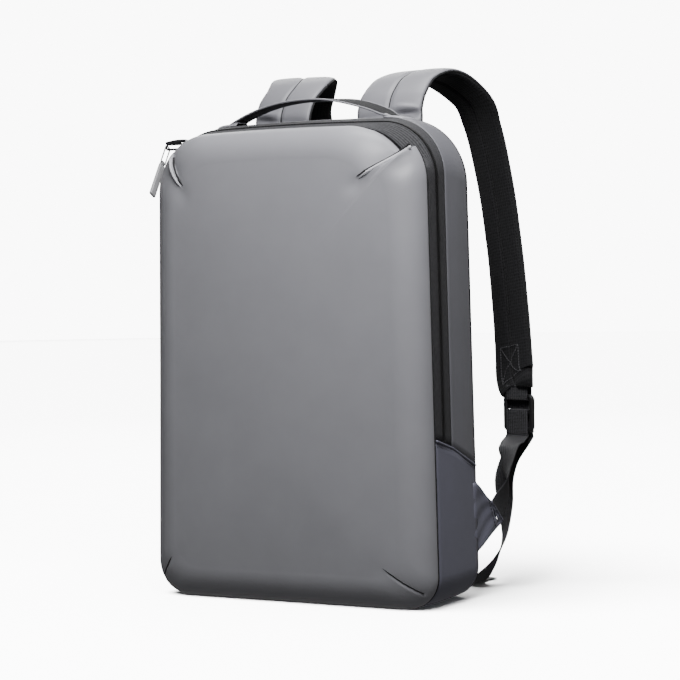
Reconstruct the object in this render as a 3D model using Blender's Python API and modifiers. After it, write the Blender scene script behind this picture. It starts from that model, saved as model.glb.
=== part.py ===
# Anti theft backpack, standing on its base with both shoulder straps arched behind it.
# Metres, +Z up. The front faces -Y, +X is on the viewer's right, and the origin is the middle of the flat base.

import math

import bmesh
import bpy
import numpy as np
from mathutils import Matrix, Vector

# Driving sizes of the bag
BAG_WIDTH = 0.289  # widest, near the foot
BAG_HEIGHT = 0.436  # base to the top of the gusset
ZIP_BAND_WIDTH = 0.031  # both tapes and the coil, front to back
GUSSET_WIDTH = 0.047  # band to the back seam
FRONT_WRAP_DEPTH = 0.024  # how far the front panel stands before its seam
FRONT_WRAP_WIDTH = 0.030  # how far the turn of its edge reaches in
FRONT_CROWN = 0.004  # extra bulge at the middle of the front
BACK_PAD_DEPTH = 0.012  # the padded back panel, at its edge
BACK_PAD_TURN = 0.011  # how far the turn of its edge reaches in
BACK_PAD_CROWN = 0.004
BACK_PAD_SEAT = 0.003  # how far its edge is set into the gusset
BACK_PAD_WALL = 0.004  # thickness at its middle, before the crown
BACK_PAD_RIM = 0.004  # width of the edge that is set in

# Rings of the two panels: angles round the turn of the edge, then reaches as shares of what lies inside it
FRONT_TURN_ANGLES = (0, 16, 34, 52, 70, 90)
FRONT_RING_SHARES = (0.34, 0.50, 0.68, 0.86)  # of half the bag's width
BACK_TURN_ANGLES = (30, 60, 90)
BACK_RING_SHARES = (0.35, 0.70)

# Walls and clearances
FRONT_WALL = 0.003
SIDE_WALL = 0.0025
TAPE_WALL = 0.0016
GAP = 0.0003  # between pieces that touch
PIPING_RADIUS = 0.0009
COIL_WIDTH = 0.006
COIL_RISE = 0.0007  # how far the coil stands above the tapes

# Handle
HANDLE_SPAN = 0.166
HANDLE_RISE = 0.0190
HANDLE_WIDTH = 0.020
HANDLE_THICK = 0.0024
HANDLE_BEHIND_BAND = 0.013  # its middle, behind the band's rear edge
HANDLE_EDGE_RADIUS = 0.0008
HANDLE_ARCH_POWER = 2.3  # 2 for a parabola, more for a flatter middle
HANDLE_STATIONS = 17

# Shoulder straps
STRAP_WIDTH = 0.0635
STRAP_COVER_THICK = 0.0045
STRAP_PAD_THICK = 0.0055
STRAP_REACH = 0.1787  # how far behind the middle of the bag a strap arches
STRAP_OUT = 0.140  # half the distance between the straps' lower ends
STRAP_TOP = 0.483  # height of the arch, at the middle of its thickness

# Webbing and ladder-lock buckle
WEB_WIDTH = 0.025
WEB_THICK = 0.0016
BUCKLE_WIDTH = 0.034
BUCKLE_HEIGHT = 0.036
BUCKLE_THICK = 0.0046
BUCKLE_BAR = 0.0042  # width of the frame's bars
BUCKLE_MID_BAR = 0.0034
BUCKLE_YAW = -12.0
BUCKLE_DROP = 0.007  # its top under the strap's lower end
BAR_SQUARENESS = 0.4  # the webbing's turn round a bar, 1 for a circle and 0 for a square
BAR_GAP = 2 * GAP  # the webbing stands this far off the bars, as it is stiff
BUCKLE_ROUND = 0.3  # of its edges, as a share of its thickness
LOOP_SIDE_GAP = 2 * GAP  # between the strap loop and the buckle's frame, on each side
WEB_SPREAD = 1.3  # below the buckle, the two runs of webbing stand this many times further apart

# Wing that holds the webbing
WING_LENGTH = 0.045
WING_FLARE = 8.0  # degrees outwards from straight back
WING_HEM = 0.0065  # width of the strip behind the slot
WING_SLOT = 0.0030
WING_SLOT_SHARE = 0.86  # its length as a share of the hem's
WING_LEAD = 3 * SIDE_WALL  # how far its root runs on inside the side panel's wall
WING_SKINS = (0.2, 0.8)  # its outer and inner face, as shares of the side panel's wall
WING_CORNERS = (
    # height as a share of the bag's, distance behind the back seam as a share of the wing's length
    (0.240, 0.0),  # upper end of its root
    (0.196, 0.55),  # upper end of its hem
    (0.150, 1.0),  # lower end of its hem
    (0.095, 0.0),  # lower end of its root
)
HEM_GAP = 0.0010  # the webbing starts this far behind the hem
HEM_LEAD = 0.0040  # length over which it runs on straight

# Zip slider and its pull
SLIDER_ANGLE = 133.0  # where it stands on the corner, degrees from +X
SLIDER_LENGTH = 0.012
SLIDER_WIDTH = 0.0085
SLIDER_THICK = 0.0034
CROWN_WIRE = 0.0011
LINK_WIRE = 0.0007
LINK_WIDTH = 0.0072
LINK_LENGTH = 0.0185
TAB_LENGTH = 0.034
TAB_WIDTH = 0.0085
TAB_THICK = 0.0028
BARREL_RADIUS = 0.0020
BARREL_WIDTH = 0.0042
BORE_CLEARANCE = 0.0004
TAB_DROP = 4 * GAP  # from the link's wire down to the tab's upper end
PULL_OUT = 0.0035  # hinge of the pull, outside the bag's side
PULL_RISE = 0.0010  # hinge of the pull, above the slider's middle
PULL_LEAN = 32.0  # the pull hangs this many degrees forward of upright
CROWN_ROOT = 0.13  # where the crown enters the slider, as a share of its length before its middle
CROWN_CORNER = 0.48  # corner radius of the crown, as a share of its height
LINK_CORNER = 0.2  # corner radius of the link, as a share of its width
SLIDER_ROUND = 0.25  # of its edges, as a share of its thickness
TAB_ROUND = 0.35  # of its edges, as a share of its thickness

CUTTER_LENGTH = 3  # a cutter is this many times as long as what it passes through
SHARP_ANGLE = 40.0  # edges that turn by more, in degrees, are drawn sharp

# Places from front to back
FRONT_SEAM = -(ZIP_BAND_WIDTH + GUSSET_WIDTH + BACK_PAD_DEPTH - FRONT_WRAP_DEPTH) / 2
BAND_REAR = FRONT_SEAM + ZIP_BAND_WIDTH
BACK_SEAM = BAND_REAR + GUSSET_WIDTH
COIL_LINE = (FRONT_SEAM + BAND_REAR) / 2

# Outline of the bag at three places from front to back. Half widths are shares of half the bag's width,
# heights and splits of its height, radii of its width. Below the split is the side panel, above it the zip.
OUTLINES = (
    # place, half width at foot, half width at shoulder, top, foot radius, shoulder radius, split
    (FRONT_SEAM, 0.986, 0.945, 0.975, 0.100, 0.176, 0.340),
    (BAND_REAR, 0.993, 0.955, 0.995, 0.100, 0.183, 0.320),
    (BACK_SEAM, 1.000, 0.955, 1.000, 0.103, 0.215, 0.276),
)
TOP_CROWN = 0.0015  # the top edge stands this much higher at its middle

# Steps along each stretch of half an outline
BOTTOM_STEPS, FOOT_STEPS, LOWER_STEPS, UPPER_STEPS, SHOULDER_STEPS, TOP_STEPS = 4, 5, 3, 6, 8, 5
HALF_STEPS = BOTTOM_STEPS + FOOT_STEPS + LOWER_STEPS + UPPER_STEPS + SHOULDER_STEPS + TOP_STEPS
SPLIT_STEP = BOTTOM_STEPS + FOOT_STEPS + LOWER_STEPS
BASE_STEP = BOTTOM_STEPS

# Corner darts of the front panel, as shares of half the width and of the height
DARTS = (
    # inner tip across, inner tip up, end at the seam across, end at the seam up, depth, half width
    (0.560, 0.870, 0.900, 0.928, 0.0034, 0.0060),
    (-0.700, 0.865, -0.900, 0.926, 0.0030, 0.0060),
    (0.655, 0.092, 0.930, 0.030, 0.0024, 0.0055),
    (-0.790, 0.092, -0.925, 0.032, 0.0024, 0.0055),
)
DART_GROWTH = 1.6  # it is fully deep at this part of its length: 1 for its end, 2 for half way
DART_RUN_OUT = 1.4  # it stops at this share of its length, beyond the seam
DART_FADE_RINGS = 2  # it fades out over this many rings before the seam
PLEAT_INSET = 0.0105  # how far the upper edge steps in where it meets the right dart
PLEAT_START = 0.42  # where that step in begins, as a share of half the width
PLEAT_END = 0.86

# Right strap, root to lower end
STRAP_SECTIONS = (
    # out / STRAP_OUT, back / STRAP_REACH, up / STRAP_TOP, yaw of its width in degrees, width / STRAP_WIDTH
    (0.407, 0.299, 0.9065, 7.0, 1.00),
    (0.404, 0.308, 0.9260, 6.0, 1.00),
    (0.404, 0.358, 0.9540, 4.0, 1.00),
    (0.407, 0.481, 0.9850, -1.0, 1.00),
    (0.468, 0.627, 1.0000, -10.0, 1.00),
    (0.561, 0.757, 0.9900, -20.0, 0.97),
    (0.666, 0.880, 0.9520, -26.0, 0.90),
    (0.692, 0.956, 0.9060, -27.0, 0.85),
    (0.730, 0.986, 0.8480, -27.0, 0.82),
    (0.784, 1.000, 0.7530, -27.0, 0.80),
    (0.836, 0.988, 0.6530, -26.5, 0.78),
    (0.886, 0.957, 0.5540, -26.0, 0.78),
    (0.929, 0.921, 0.4560, -25.0, 0.78),
    (0.952, 0.894, 0.4080, -24.5, 0.77),
    (1.000, 0.855, 0.3850, -24.0, 0.58),
)
# Across half a strap: share of the half width, share of the thickness. The outer face puffs to each side of its seam.
COVER_PROFILE = ((0.0, 0.62), (0.14, 0.90), (0.45, 1.00), (0.78, 0.86), (1.0, 0.30))
PAD_PROFILE = ((0.0, 0.72), (0.14, 0.92), (0.50, 1.00), (0.80, 0.84), (1.0, 0.30))
STRAP_FLAT_SHARE = 0.96  # width of the face between cover and pad, as a share of the strap's

# Webbing from the wing's hem up to the buckle, then its free tail from the buckle down to the floor
RISING_WEB = (
    # out / STRAP_OUT, back / STRAP_REACH, up / BAG_HEIGHT, yaw, dip of the width below level
    (1.071, 0.556, 0.2160, -78.0, -20.0),
    (1.058, 0.596, 0.2560, -52.0, -8.0),
    (1.036, 0.660, 0.2950, -32.0, 0.0),
    (1.014, 0.735, 0.3080, -20.0, 0.0),
)
TAIL_WEB = (
    (0.935, 0.845, 0.2700, -20.0, 0.0),
    (0.921, 0.790, 0.2250, -22.0, 0.0),
    (0.951, 0.750, 0.1700, -34.0, 0.0),
    (0.976, 0.690, 0.1080, -58.0, 0.0),
    (0.936, 0.640, 0.0600, -80.0, 0.0),
    (0.850, 0.630, 0.0260, -106.0, 0.0),
    (0.745, 0.675, 0.0065, -144.0, 0.0),
    (0.705, 0.770, 0.0032, -170.0, 0.0),
    (0.730, 0.880, 0.0032, -176.0, 0.0),
)
STATIONS_PER_ROW = 2
BAR_ANGLES = (25, 50, 90, 130, 155)  # points of the webbing's turn round a bar, in degrees

# Colours, roughness and metallic value of each material
FINISHES = {
    "coated_grey": ((0.22, 0.22, 0.24), 0.50, 0.0),
    "zip_tape": ((0.035, 0.035, 0.038), 0.80, 0.0),
    "black_trim": ((0.012, 0.012, 0.013), 0.60, 0.0),
    "black_mesh": ((0.015, 0.015, 0.016), 0.90, 0.0),
    "black_webbing": ((0.018, 0.018, 0.019), 0.75, 0.0),
    "black_plastic": ((0.010, 0.010, 0.011), 0.40, 0.0),
    "dark_metal": ((0.10, 0.10, 0.11), 0.30, 1.0),
    "pull_rubber": ((0.20, 0.20, 0.21), 0.55, 0.0),
}


# Scene and materials


def clear_scene():
    for obj in list(bpy.data.objects):
        bpy.data.objects.remove(obj, do_unlink=True)


def new_collection(name):
    collection = bpy.data.collections.new(name)
    bpy.context.scene.collection.children.link(collection)
    return collection


def finish_material(name):
    material = bpy.data.materials.get(name)
    if material:
        return material
    colour, roughness, metallic = FINISHES[name]
    material = bpy.data.materials.new(name)
    material.use_nodes = True
    shader = material.node_tree.nodes["Principled BSDF"]
    shader.inputs["Base Color"].default_value = (*colour, 1.0)
    shader.inputs["Roughness"].default_value = roughness
    shader.inputs["Metallic"].default_value = metallic
    material.diffuse_color = (*colour, 1.0)
    return material


def add_object(name, mesh, finish, collection):
    obj = bpy.data.objects.new(name, mesh)
    collection.objects.link(obj)
    mesh.materials.clear()
    mesh.materials.append(finish_material(finish))
    return obj


def closed_mesh(name, points, faces):
    """A mesh whose faces are turned outwards."""
    mesh = bpy.data.meshes.new(name)
    mesh.from_pydata([tuple(float(v) for v in p) for p in points], [], faces)
    work = bmesh.new()
    work.from_mesh(mesh)
    bmesh.ops.recalc_face_normals(work, faces=work.faces)
    work.to_mesh(mesh)
    work.free()
    mesh.shade_smooth()
    mesh.set_sharp_from_angle(angle=math.radians(SHARP_ANGLE))
    return mesh


def keep_mesh(obj):
    """Replaces a curve or a modified object by a plain mesh object of the same name."""
    graph = bpy.context.evaluated_depsgraph_get()
    mesh = bpy.data.meshes.new_from_object(obj.evaluated_get(graph))
    work = bmesh.new()
    work.from_mesh(mesh)
    bmesh.ops.remove_doubles(work, verts=work.verts, dist=1e-6)
    bmesh.ops.recalc_face_normals(work, faces=work.faces)
    work.to_mesh(mesh)
    work.free()
    name, matrix, homes = obj.name, obj.matrix_world.copy(), list(obj.users_collection)
    bpy.data.objects.remove(obj, do_unlink=True)
    kept = bpy.data.objects.new(name, mesh)
    kept.matrix_world = matrix
    for home in homes:
        home.objects.link(kept)
    return kept


# The bag's outline


def half_outline(place):
    """Right half of the outline at a place from front to back, from the middle of the base to the middle of the top."""
    places = [row[0] for row in OUTLINES]
    columns = [[row[i] for row in OUTLINES] for i in range(1, 7)]
    foot, shoulder, top, foot_round, shoulder_round, split = (np.interp(place, places, c) for c in columns)
    foot_half, shoulder_half = foot * BAG_WIDTH / 2, shoulder * BAG_WIDTH / 2
    low, high = foot_round * BAG_WIDTH, shoulder_round * BAG_WIDTH
    height, split = top * BAG_HEIGHT, split * BAG_HEIGHT

    def side(z):
        return foot_half + (shoulder_half - foot_half) * (z - low) / (height - high - low)

    def steps(count):
        return np.linspace(0.0, 1.0, count, endpoint=False)

    bottom = [(t * (foot_half - low), 0.0) for t in steps(BOTTOM_STEPS)]
    foot_turn = [
        (foot_half - low + low * math.sin(t * math.pi / 2), low - low * math.cos(t * math.pi / 2))
        for t in steps(FOOT_STEPS)
    ]
    lower = [(side(low + t * (split - low)), low + t * (split - low)) for t in steps(LOWER_STEPS)]
    rise = height - high - split
    upper = [(side(split + t * rise), split + t * rise) for t in steps(UPPER_STEPS)]
    shoulder_turn = [
        (
            shoulder_half - high + high * math.cos(t * math.pi / 2),
            height - high + high * math.sin(t * math.pi / 2),
        )
        for t in steps(SHOULDER_STEPS)
    ]
    flat = shoulder_half - high
    across = [flat * (1 - t) for t in np.linspace(0.0, 1.0, TOP_STEPS + 1)]
    top_edge = [(x, height + TOP_CROWN * (1 - (x / flat) ** 2)) for x in across]
    return np.array(bottom + foot_turn + lower + upper + shoulder_turn + top_edge)


def smooth_step(t):
    t = np.clip(t, 0.0, 1.0)
    return t * t * (3 - 2 * t)


def pleat_step(points, place):
    """Steps the upper right edge in towards the right dart. It fades out over the zip band."""
    share = 1.0 - np.clip((place - FRONT_SEAM) / (BAND_REAR - FRONT_SEAM), 0.0, 1.0)
    half = BAG_WIDTH / 2
    dart_end_up = DARTS[0][3] * BAG_HEIGHT
    across = smooth_step((points[:, 0] / half - PLEAT_START) / (PLEAT_END - PLEAT_START))
    above = points[:, 1] > dart_end_up
    shift = PLEAT_INSET * share * across * above
    centre = np.array([0.0, BAG_HEIGHT / 2])
    inward = centre - points
    inward /= np.linalg.norm(inward, axis=1)[:, None]
    return points + inward * shift[:, None]


def outline(place):
    """The whole closed outline, starting at the middle of the base and going up the right side."""
    right = half_outline(place)
    left = right[-2:0:-1] * np.array([-1.0, 1.0])
    return pleat_step(np.concatenate([right, left]), place)


def inset(points, amount):
    """A closed outline moved inwards by a distance."""
    ahead = np.roll(points, -1, axis=0) - np.roll(points, 1, axis=0)
    inward = np.stack([-ahead[:, 1], ahead[:, 0]], axis=1)
    inward /= np.linalg.norm(inward, axis=1)[:, None]
    return points + inward * amount


def at_place(points, place):
    """Outline points (x, z) as points in space at one place from front to back."""
    return np.stack([points[:, 0], np.full(len(points), place), points[:, 1]], axis=1)


# Bodies made of rings and strips


def ring_faces(rings, count, first=0, closed=True):
    """Quads between consecutive rings of points."""
    faces = []
    last = count if closed else count - 1
    for k in range(rings - 1):
        for i in range(last):
            j = (i + 1) % count
            a, b = first + k * count, first + (k + 1) * count
            faces.append((a + i, a + j, b + j, b + i))
    return faces


def loft(sections):
    """A closed body through closed sections of equal length, with a flat cap at each end."""
    count = len(sections[0])
    faces = ring_faces(len(sections), count)
    faces.append(tuple(range(count - 1, -1, -1)))
    start = (len(sections) - 1) * count
    faces.append(tuple(range(start, start + count)))
    return np.concatenate(sections), faces


def wall_strip(places, wall, chosen, lift=0.0):
    """A curved wall along part of the outline: outer and inner skins joined round their edges."""
    sections = []
    for step in chosen:
        outer = []
        inner = []
        for place in places:
            skin = outline(place)
            outer.append(at_place(inset(skin, -lift), place)[step])
            inner.append(at_place(inset(skin, wall), place)[step])
        sections.append(np.array(outer + inner[::-1]))
    return loft(sections)


def steps_between(first, last):
    """Outline steps from first to last, going round the closed outline."""
    total = 2 * HALF_STEPS
    count = (last - first) % total
    return [(first + i) % total for i in range(count + 1)]


UPPER_PART = steps_between(SPLIT_STEP, -SPLIT_STEP)
RIGHT_SIDE = steps_between(BASE_STEP, SPLIT_STEP)
LEFT_SIDE = steps_between(-SPLIT_STEP, -BASE_STEP)
BASE_PART = steps_between(-BASE_STEP, BASE_STEP)


# Front and back panels


def panel_ring(skin, reach, place):
    """The outline drawn in towards its middle by a reach, at one place from front to back."""
    half_width, half_height = BAG_WIDTH / 2, BAG_HEIGHT / 2
    middle = np.array([0.0, skin[:, 1].max() / 2])
    scale = np.array([1 - reach / half_width, 1 - reach / half_height])
    return at_place(middle + (skin - middle) * scale, place)


def dart_push(points):
    """How far each point of the front panel is pressed in along the corner darts."""
    push = np.zeros(len(points))
    for tip_x, tip_z, end_x, end_z, depth, half_width in DARTS:
        tip = np.array([tip_x * BAG_WIDTH / 2, tip_z * BAG_HEIGHT])
        end = np.array([end_x * BAG_WIDTH / 2, end_z * BAG_HEIGHT])
        length = np.linalg.norm(end - tip)
        along_axis = (end - tip) / length
        offset = points[:, [0, 2]] - tip
        along = offset @ along_axis / length
        across = offset @ np.array([-along_axis[1], along_axis[0]]) / half_width
        fade = smooth_step(along * DART_GROWTH) * (along < DART_RUN_OUT)
        push += depth * fade * np.exp(-across * across)
    return push


def front_profile():
    """Reach and forward depth of the front panel's rings, from its seam to its middle."""
    turns = np.radians(FRONT_TURN_ANGLES)
    rows = [(FRONT_WRAP_WIDTH * (1 - math.cos(a)), FRONT_WRAP_DEPTH * math.sin(a)) for a in turns]
    half = BAG_WIDTH / 2
    for share in FRONT_RING_SHARES:
        reach = share * half
        across = (reach - FRONT_WRAP_WIDTH) / (half - FRONT_WRAP_WIDTH)
        rows.append((reach, FRONT_WRAP_DEPTH + FRONT_CROWN * (1 - (1 - across) ** 2)))
    return np.array(rows)


def make_front_panel(home):
    skin = outline(FRONT_SEAM)
    profile = front_profile()
    slope = np.gradient(profile, axis=0)
    normal = np.stack([slope[:, 1], -slope[:, 0]], axis=1)
    normal /= np.linalg.norm(normal, axis=1)[:, None]
    normal[0] = (1.0, 0.0)
    normal[-1] = (0.0, -1.0)
    seam = FRONT_SEAM - PIPING_RADIUS - GAP
    skins = []
    for rows in (profile, profile + normal * FRONT_WALL):
        rings = []
        for k, (reach, depth) in enumerate(rows):
            ring = panel_ring(skin, reach, seam - depth)
            # The darts fade out in the last turn before the seam, so that the edge stays level.
            ring[:, 1] += dart_push(ring) * min(1.0, k / DART_FADE_RINGS)
            rings.append(ring)
        skins.append(rings)
    sections = skins[0][::-1] + skins[1]
    points, faces = loft(sections)
    add_object("front_panel", closed_mesh("front_panel", points, faces), "coated_grey", home)


def make_back_panel(home):
    skin = inset(outline(BACK_SEAM), SIDE_WALL + GAP)
    start = BACK_SEAM - BACK_PAD_SEAT
    recess = BACK_SEAM + BACK_PAD_DEPTH - BACK_PAD_WALL
    sections = [
        panel_ring(skin, BACK_PAD_TURN + BACK_PAD_RIM, recess),
        panel_ring(skin, BACK_PAD_RIM, start),
        at_place(skin, start),
        at_place(skin, BACK_SEAM),
    ]
    for angle in np.radians(BACK_TURN_ANGLES):
        reach = BACK_PAD_TURN * (1 - math.cos(angle))
        sections.append(panel_ring(skin, reach, BACK_SEAM + BACK_PAD_DEPTH * math.sin(angle)))
    for share in BACK_RING_SHARES:
        reach = BACK_PAD_TURN + share * (BAG_WIDTH / 2 - BACK_PAD_TURN)
        depth = BACK_PAD_DEPTH + BACK_PAD_CROWN * (1 - (1 - share) ** 2)
        sections.append(panel_ring(skin, reach, BACK_SEAM + depth))
    points, faces = loft(sections)
    add_object("back_panel", closed_mesh("back_panel", points, faces), "black_mesh", home)


# Sides


def make_seam_piping(home):
    """A thin cord all round the front seam, flush with the bag."""
    path = at_place(inset(outline(FRONT_SEAM), PIPING_RADIUS + GAP), FRONT_SEAM)
    curve = bpy.data.curves.new("seam_piping", "CURVE")
    curve.dimensions = "3D"
    curve.bevel_depth = PIPING_RADIUS
    curve.bevel_resolution = 1
    spline = curve.splines.new("POLY")
    spline.points.add(len(path) - 1)
    for point, place in zip(spline.points, path):
        point.co = (*place, 1.0)
    spline.use_cyclic_u = True
    add_object("seam_piping", curve, "black_trim", home)


def make_zip_band(home):
    start = FRONT_SEAM + PIPING_RADIUS + GAP
    coil_front = COIL_LINE - COIL_WIDTH / 2
    coil_rear = COIL_LINE + COIL_WIDTH / 2
    tape_rear = (coil_rear + GAP / 2, BAND_REAR - GAP / 2)
    pieces = (
        ("zip_tape_front", (start, coil_front - GAP / 2), 0.0, "zip_tape"),
        ("zip_coil", (coil_front + GAP / 2, coil_rear - GAP / 2), COIL_RISE, "black_trim"),
        ("zip_tape_rear", tape_rear, 0.0, "zip_tape"),
    )
    for name, places, lift, finish in pieces:
        points, faces = wall_strip(places, TAPE_WALL, UPPER_PART, lift)
        add_object(name, closed_mesh(name, points, faces), finish, home)


def make_gusset(home):
    places = np.linspace(BAND_REAR + GAP / 2, BACK_SEAM, 4)
    points, faces = wall_strip(places, SIDE_WALL, UPPER_PART)
    add_object("gusset", closed_mesh("gusset", points, faces), "coated_grey", home)


def make_base(home):
    places = (FRONT_SEAM + PIPING_RADIUS + GAP, BACK_SEAM)
    points, faces = wall_strip(places, SIDE_WALL, BASE_PART)
    edge = points[:, 0].max()
    points[:, 0] *= 1 - GAP / edge
    add_object("base_panel", closed_mesh("base_panel", points, faces), "coated_grey", home)


def wing_corners(side):
    """Corners of the wing on one side: its two ends on the back seam, its two hem corners, as an array."""
    half = BAG_WIDTH / 2
    flare = math.radians(WING_FLARE)
    out, back = math.sin(flare), math.cos(flare)
    rows = []
    for up, reach in WING_CORNERS:
        away = reach * WING_LENGTH
        rows.append((side * (half + out * away), BACK_SEAM + back * away, up * BAG_HEIGHT))
    return np.array(rows)


def make_side_panel(name, side, chosen, home, cutters):
    """Lower side panel with the wing that runs on behind the bag, cut by the slot for the webbing."""
    start = FRONT_SEAM + PIPING_RADIUS + GAP
    places = (start, BAND_REAR, (BAND_REAR + BACK_SEAM) / 2, BACK_SEAM)
    points, faces = wall_strip(places, SIDE_WALL, chosen)
    # The upper edge stands off the zip band and the gusset by the gap.
    lowest_split = min(row[6] for row in OUTLINES) * BAG_HEIGHT
    points[points[:, 2] > lowest_split - GAP, 2] -= GAP
    panel = add_object(name, closed_mesh(name, points, faces), "coated_grey", home)

    root_high, hem_high, hem_low, root_low = wing_corners(side)
    lead = np.array([0.0, -WING_LEAD, 0.0])
    face = np.array([root_high + lead, root_high, hem_high, hem_low, root_low, root_low + lead])
    skins = [face - np.array([side * SIDE_WALL * share, 0.0, 0.0]) for share in WING_SKINS]
    points, faces = loft(skins)
    wing = add_object(name + "_wing", closed_mesh(name + "_wing", points, faces), "coated_grey", cutters)

    along = hem_low - hem_high
    length = np.linalg.norm(along)
    middle = (hem_low + hem_high) / 2
    middle = middle + (root_low + root_high - hem_low - hem_high) / 2 * (WING_HEM / WING_LENGTH)
    slot_mesh = bpy.data.meshes.new(name + "_slot")
    work = bmesh.new()
    bmesh.ops.create_cube(work, size=1.0)
    work.to_mesh(slot_mesh)
    work.free()
    slot = add_object(name + "_slot", slot_mesh, "black_trim", cutters)
    long_axis = Vector(along / length)
    thin_axis = Vector((side, 0.0, 0.0))
    across_axis = long_axis.cross(thin_axis).normalized()
    thin_axis = across_axis.cross(long_axis).normalized()
    turn = Matrix((thin_axis, across_axis, long_axis)).transposed().to_4x4()
    size = Matrix.Diagonal((2 * CUTTER_LENGTH * SIDE_WALL, WING_SLOT, length * WING_SLOT_SHARE, 1.0))
    slot.matrix_world = Matrix.Translation(Vector(middle)) @ turn @ size

    for cutter, how in ((wing, "UNION"), (slot, "DIFFERENCE")):
        cutter.hide_render = True
        cutter.display_type = "WIRE"
        modifier = panel.modifiers.new(how.lower(), "BOOLEAN")
        modifier.operation = how
        modifier.object = cutter
        modifier.solver = "EXACT"
    return panel


# Straps and webbing as ribbons through a table of sections


def smooth_rows(rows):
    """Rows of a section table read from a smooth curve through them, with a few stations to each row."""
    rows = np.array(rows, float)
    padded = np.concatenate([[2 * rows[0] - rows[1]], rows, [2 * rows[-1] - rows[-2]]])
    fine = []
    for i in range(1, len(padded) - 2):
        p0, p1, p2, p3 = padded[i - 1 : i + 3]
        for t in np.linspace(0.0, 1.0, STATIONS_PER_ROW, endpoint=False):
            curve = 2 * p1 + (p2 - p0) * t + (2 * p0 - 5 * p1 + 4 * p2 - p3) * t**2
            fine.append((curve + (3 * p1 - 3 * p2 + p3 - p0) * t**3) / 2)
    return np.array(fine + [rows[-1]])


def width_axes(yaws, dips):
    """Directions of a ribbon's width, turned by a yaw about the upright and dipped below level."""
    yaws, dips = np.radians(yaws), np.radians(dips)
    return np.stack([np.cos(yaws) * np.cos(dips), np.sin(yaws) * np.cos(dips), -np.sin(dips)], axis=1)


def ribbon_frames(centres, yaws, dips, level_ends=False):
    """Width and face directions at each station. The face direction is the outer side of the ribbon."""
    ahead = np.gradient(centres, axis=0)
    if level_ends:
        ahead[0] = (0.0, 0.0, 1.0)
        ahead[-1] = (0.0, 0.0, -1.0)
    wide = width_axes(yaws, dips)
    ahead /= np.linalg.norm(ahead, axis=1)[:, None]
    wide -= ahead * np.sum(wide * ahead, axis=1)[:, None]
    wide /= np.linalg.norm(wide, axis=1)[:, None]
    return wide, np.cross(wide, ahead)


def mirrored(points, side):
    return points * np.array([side, 1.0, 1.0])


def strap_rows():
    rows = [(o * STRAP_OUT, b * STRAP_REACH, u * STRAP_TOP, yaw, w) for o, b, u, yaw, w in STRAP_SECTIONS]
    return smooth_rows(rows)


def strap_half(name, side, profile, thick, sign, finish, home):
    """One half of a strap's thickness: the cover stands to the outer side, the pad to the inner side."""
    rows = strap_rows()
    centres = rows[:, :3]
    wide, face = ribbon_frames(centres, rows[:, 3], np.zeros(len(rows)), level_ends=True)
    shape = [(-a, h) for a, h in profile[:0:-1]] + list(profile)
    sections = []
    for k in range(len(rows)):
        half = STRAP_WIDTH / 2 * rows[k, 4]
        crown = [
            centres[k] + wide[k] * a * half + face[k] * sign * (GAP / 2 + h * thick) for a, h in shape
        ]
        inner = centres[k] + face[k] * sign * GAP / 2
        flat = [inner + wide[k] * half * STRAP_FLAT_SHARE, inner - wide[k] * half * STRAP_FLAT_SHARE]
        sections.append(np.array(crown + flat))
    points, faces = loft(sections)
    add_object(name, closed_mesh(name, mirrored(points, side), faces), finish, home)


def web_ribbon(name, side, rows, finish, home, width=WEB_WIDTH, thick=WEB_THICK):
    rows = smooth_rows(rows)
    centres = rows[:, :3]
    wide, face = ribbon_frames(centres, rows[:, 3], rows[:, 4])
    corners = ((-1, -1), (1, -1), (1, 1), (-1, 1))
    sections = [
        np.array([centres[k] + wide[k] * a * width / 2 + face[k] * h * thick / 2 for a, h in corners])
        for k in range(len(rows))
    ]
    points, faces = loft(sections)
    add_object(name, closed_mesh(name, mirrored(points, side), faces), finish, home)


def web_table(table):
    return [(o * STRAP_OUT, b * STRAP_REACH, u * BAG_HEIGHT, yaw, dip) for o, b, u, yaw, dip in table]


def make_webbing(name, side, home):
    """One strip: from the wing's hem up to the buckle, over its middle bar, and down as a free tail."""
    _, hem_high, hem_low, _ = wing_corners(1)
    along = (hem_high - hem_low) / np.linalg.norm(hem_high - hem_low)
    yaw, dip = math.degrees(math.atan2(along[1], along[0])), math.degrees(math.asin(-along[2]))
    away = np.cross(along, np.array([1.0, 0.0, 0.0]))
    hem = (hem_high + hem_low) / 2 + away * HEM_GAP
    hem[0] -= SIDE_WALL / 2
    rows = [(*hem, yaw, dip), (*(hem + away * HEM_LEAD), yaw, dip)] + web_table(RISING_WEB)

    centre = np.array(buckle_centre())
    turn = math.radians(BUCKLE_YAW)
    front = np.array([math.sin(turn), -math.cos(turn), 0.0])
    around = BUCKLE_THICK / 2 + BAR_GAP + WEB_THICK / 2
    over = BUCKLE_MID_BAR / 2 + BAR_GAP + WEB_THICK / 2
    low = -BUCKLE_HEIGHT / 2
    path = [(around * WEB_SPREAD, low - BUCKLE_BAR), (around, low), (around, 0.0)]
    path += turn_points(around, over, BAR_ANGLES)
    path += [(-around, 0.0), (-around, low), (-around * WEB_SPREAD, low - BUCKLE_BAR)]
    rows += [(*(centre + front * f + np.array([0.0, 0.0, up])), BUCKLE_YAW, 0.0) for f, up in path]
    web_ribbon(name, side, rows + web_table(TAIL_WEB), "black_webbing", home)


def turn_points(across, up, angles):
    """Points of a squarish turn round a bar, in the order of the angles."""
    points = []
    for angle in np.radians(angles):
        share = math.copysign(abs(math.cos(angle)) ** BAR_SQUARENESS, math.cos(angle))
        points.append((across * share, up * math.sin(angle) ** BAR_SQUARENESS))
    return points


def buckle_centre():
    """The buckle hangs under the strap's lower end."""
    end = strap_rows()[-1]
    return Vector((end[0], end[1], end[2] - BUCKLE_DROP - BUCKLE_HEIGHT / 2))


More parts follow.
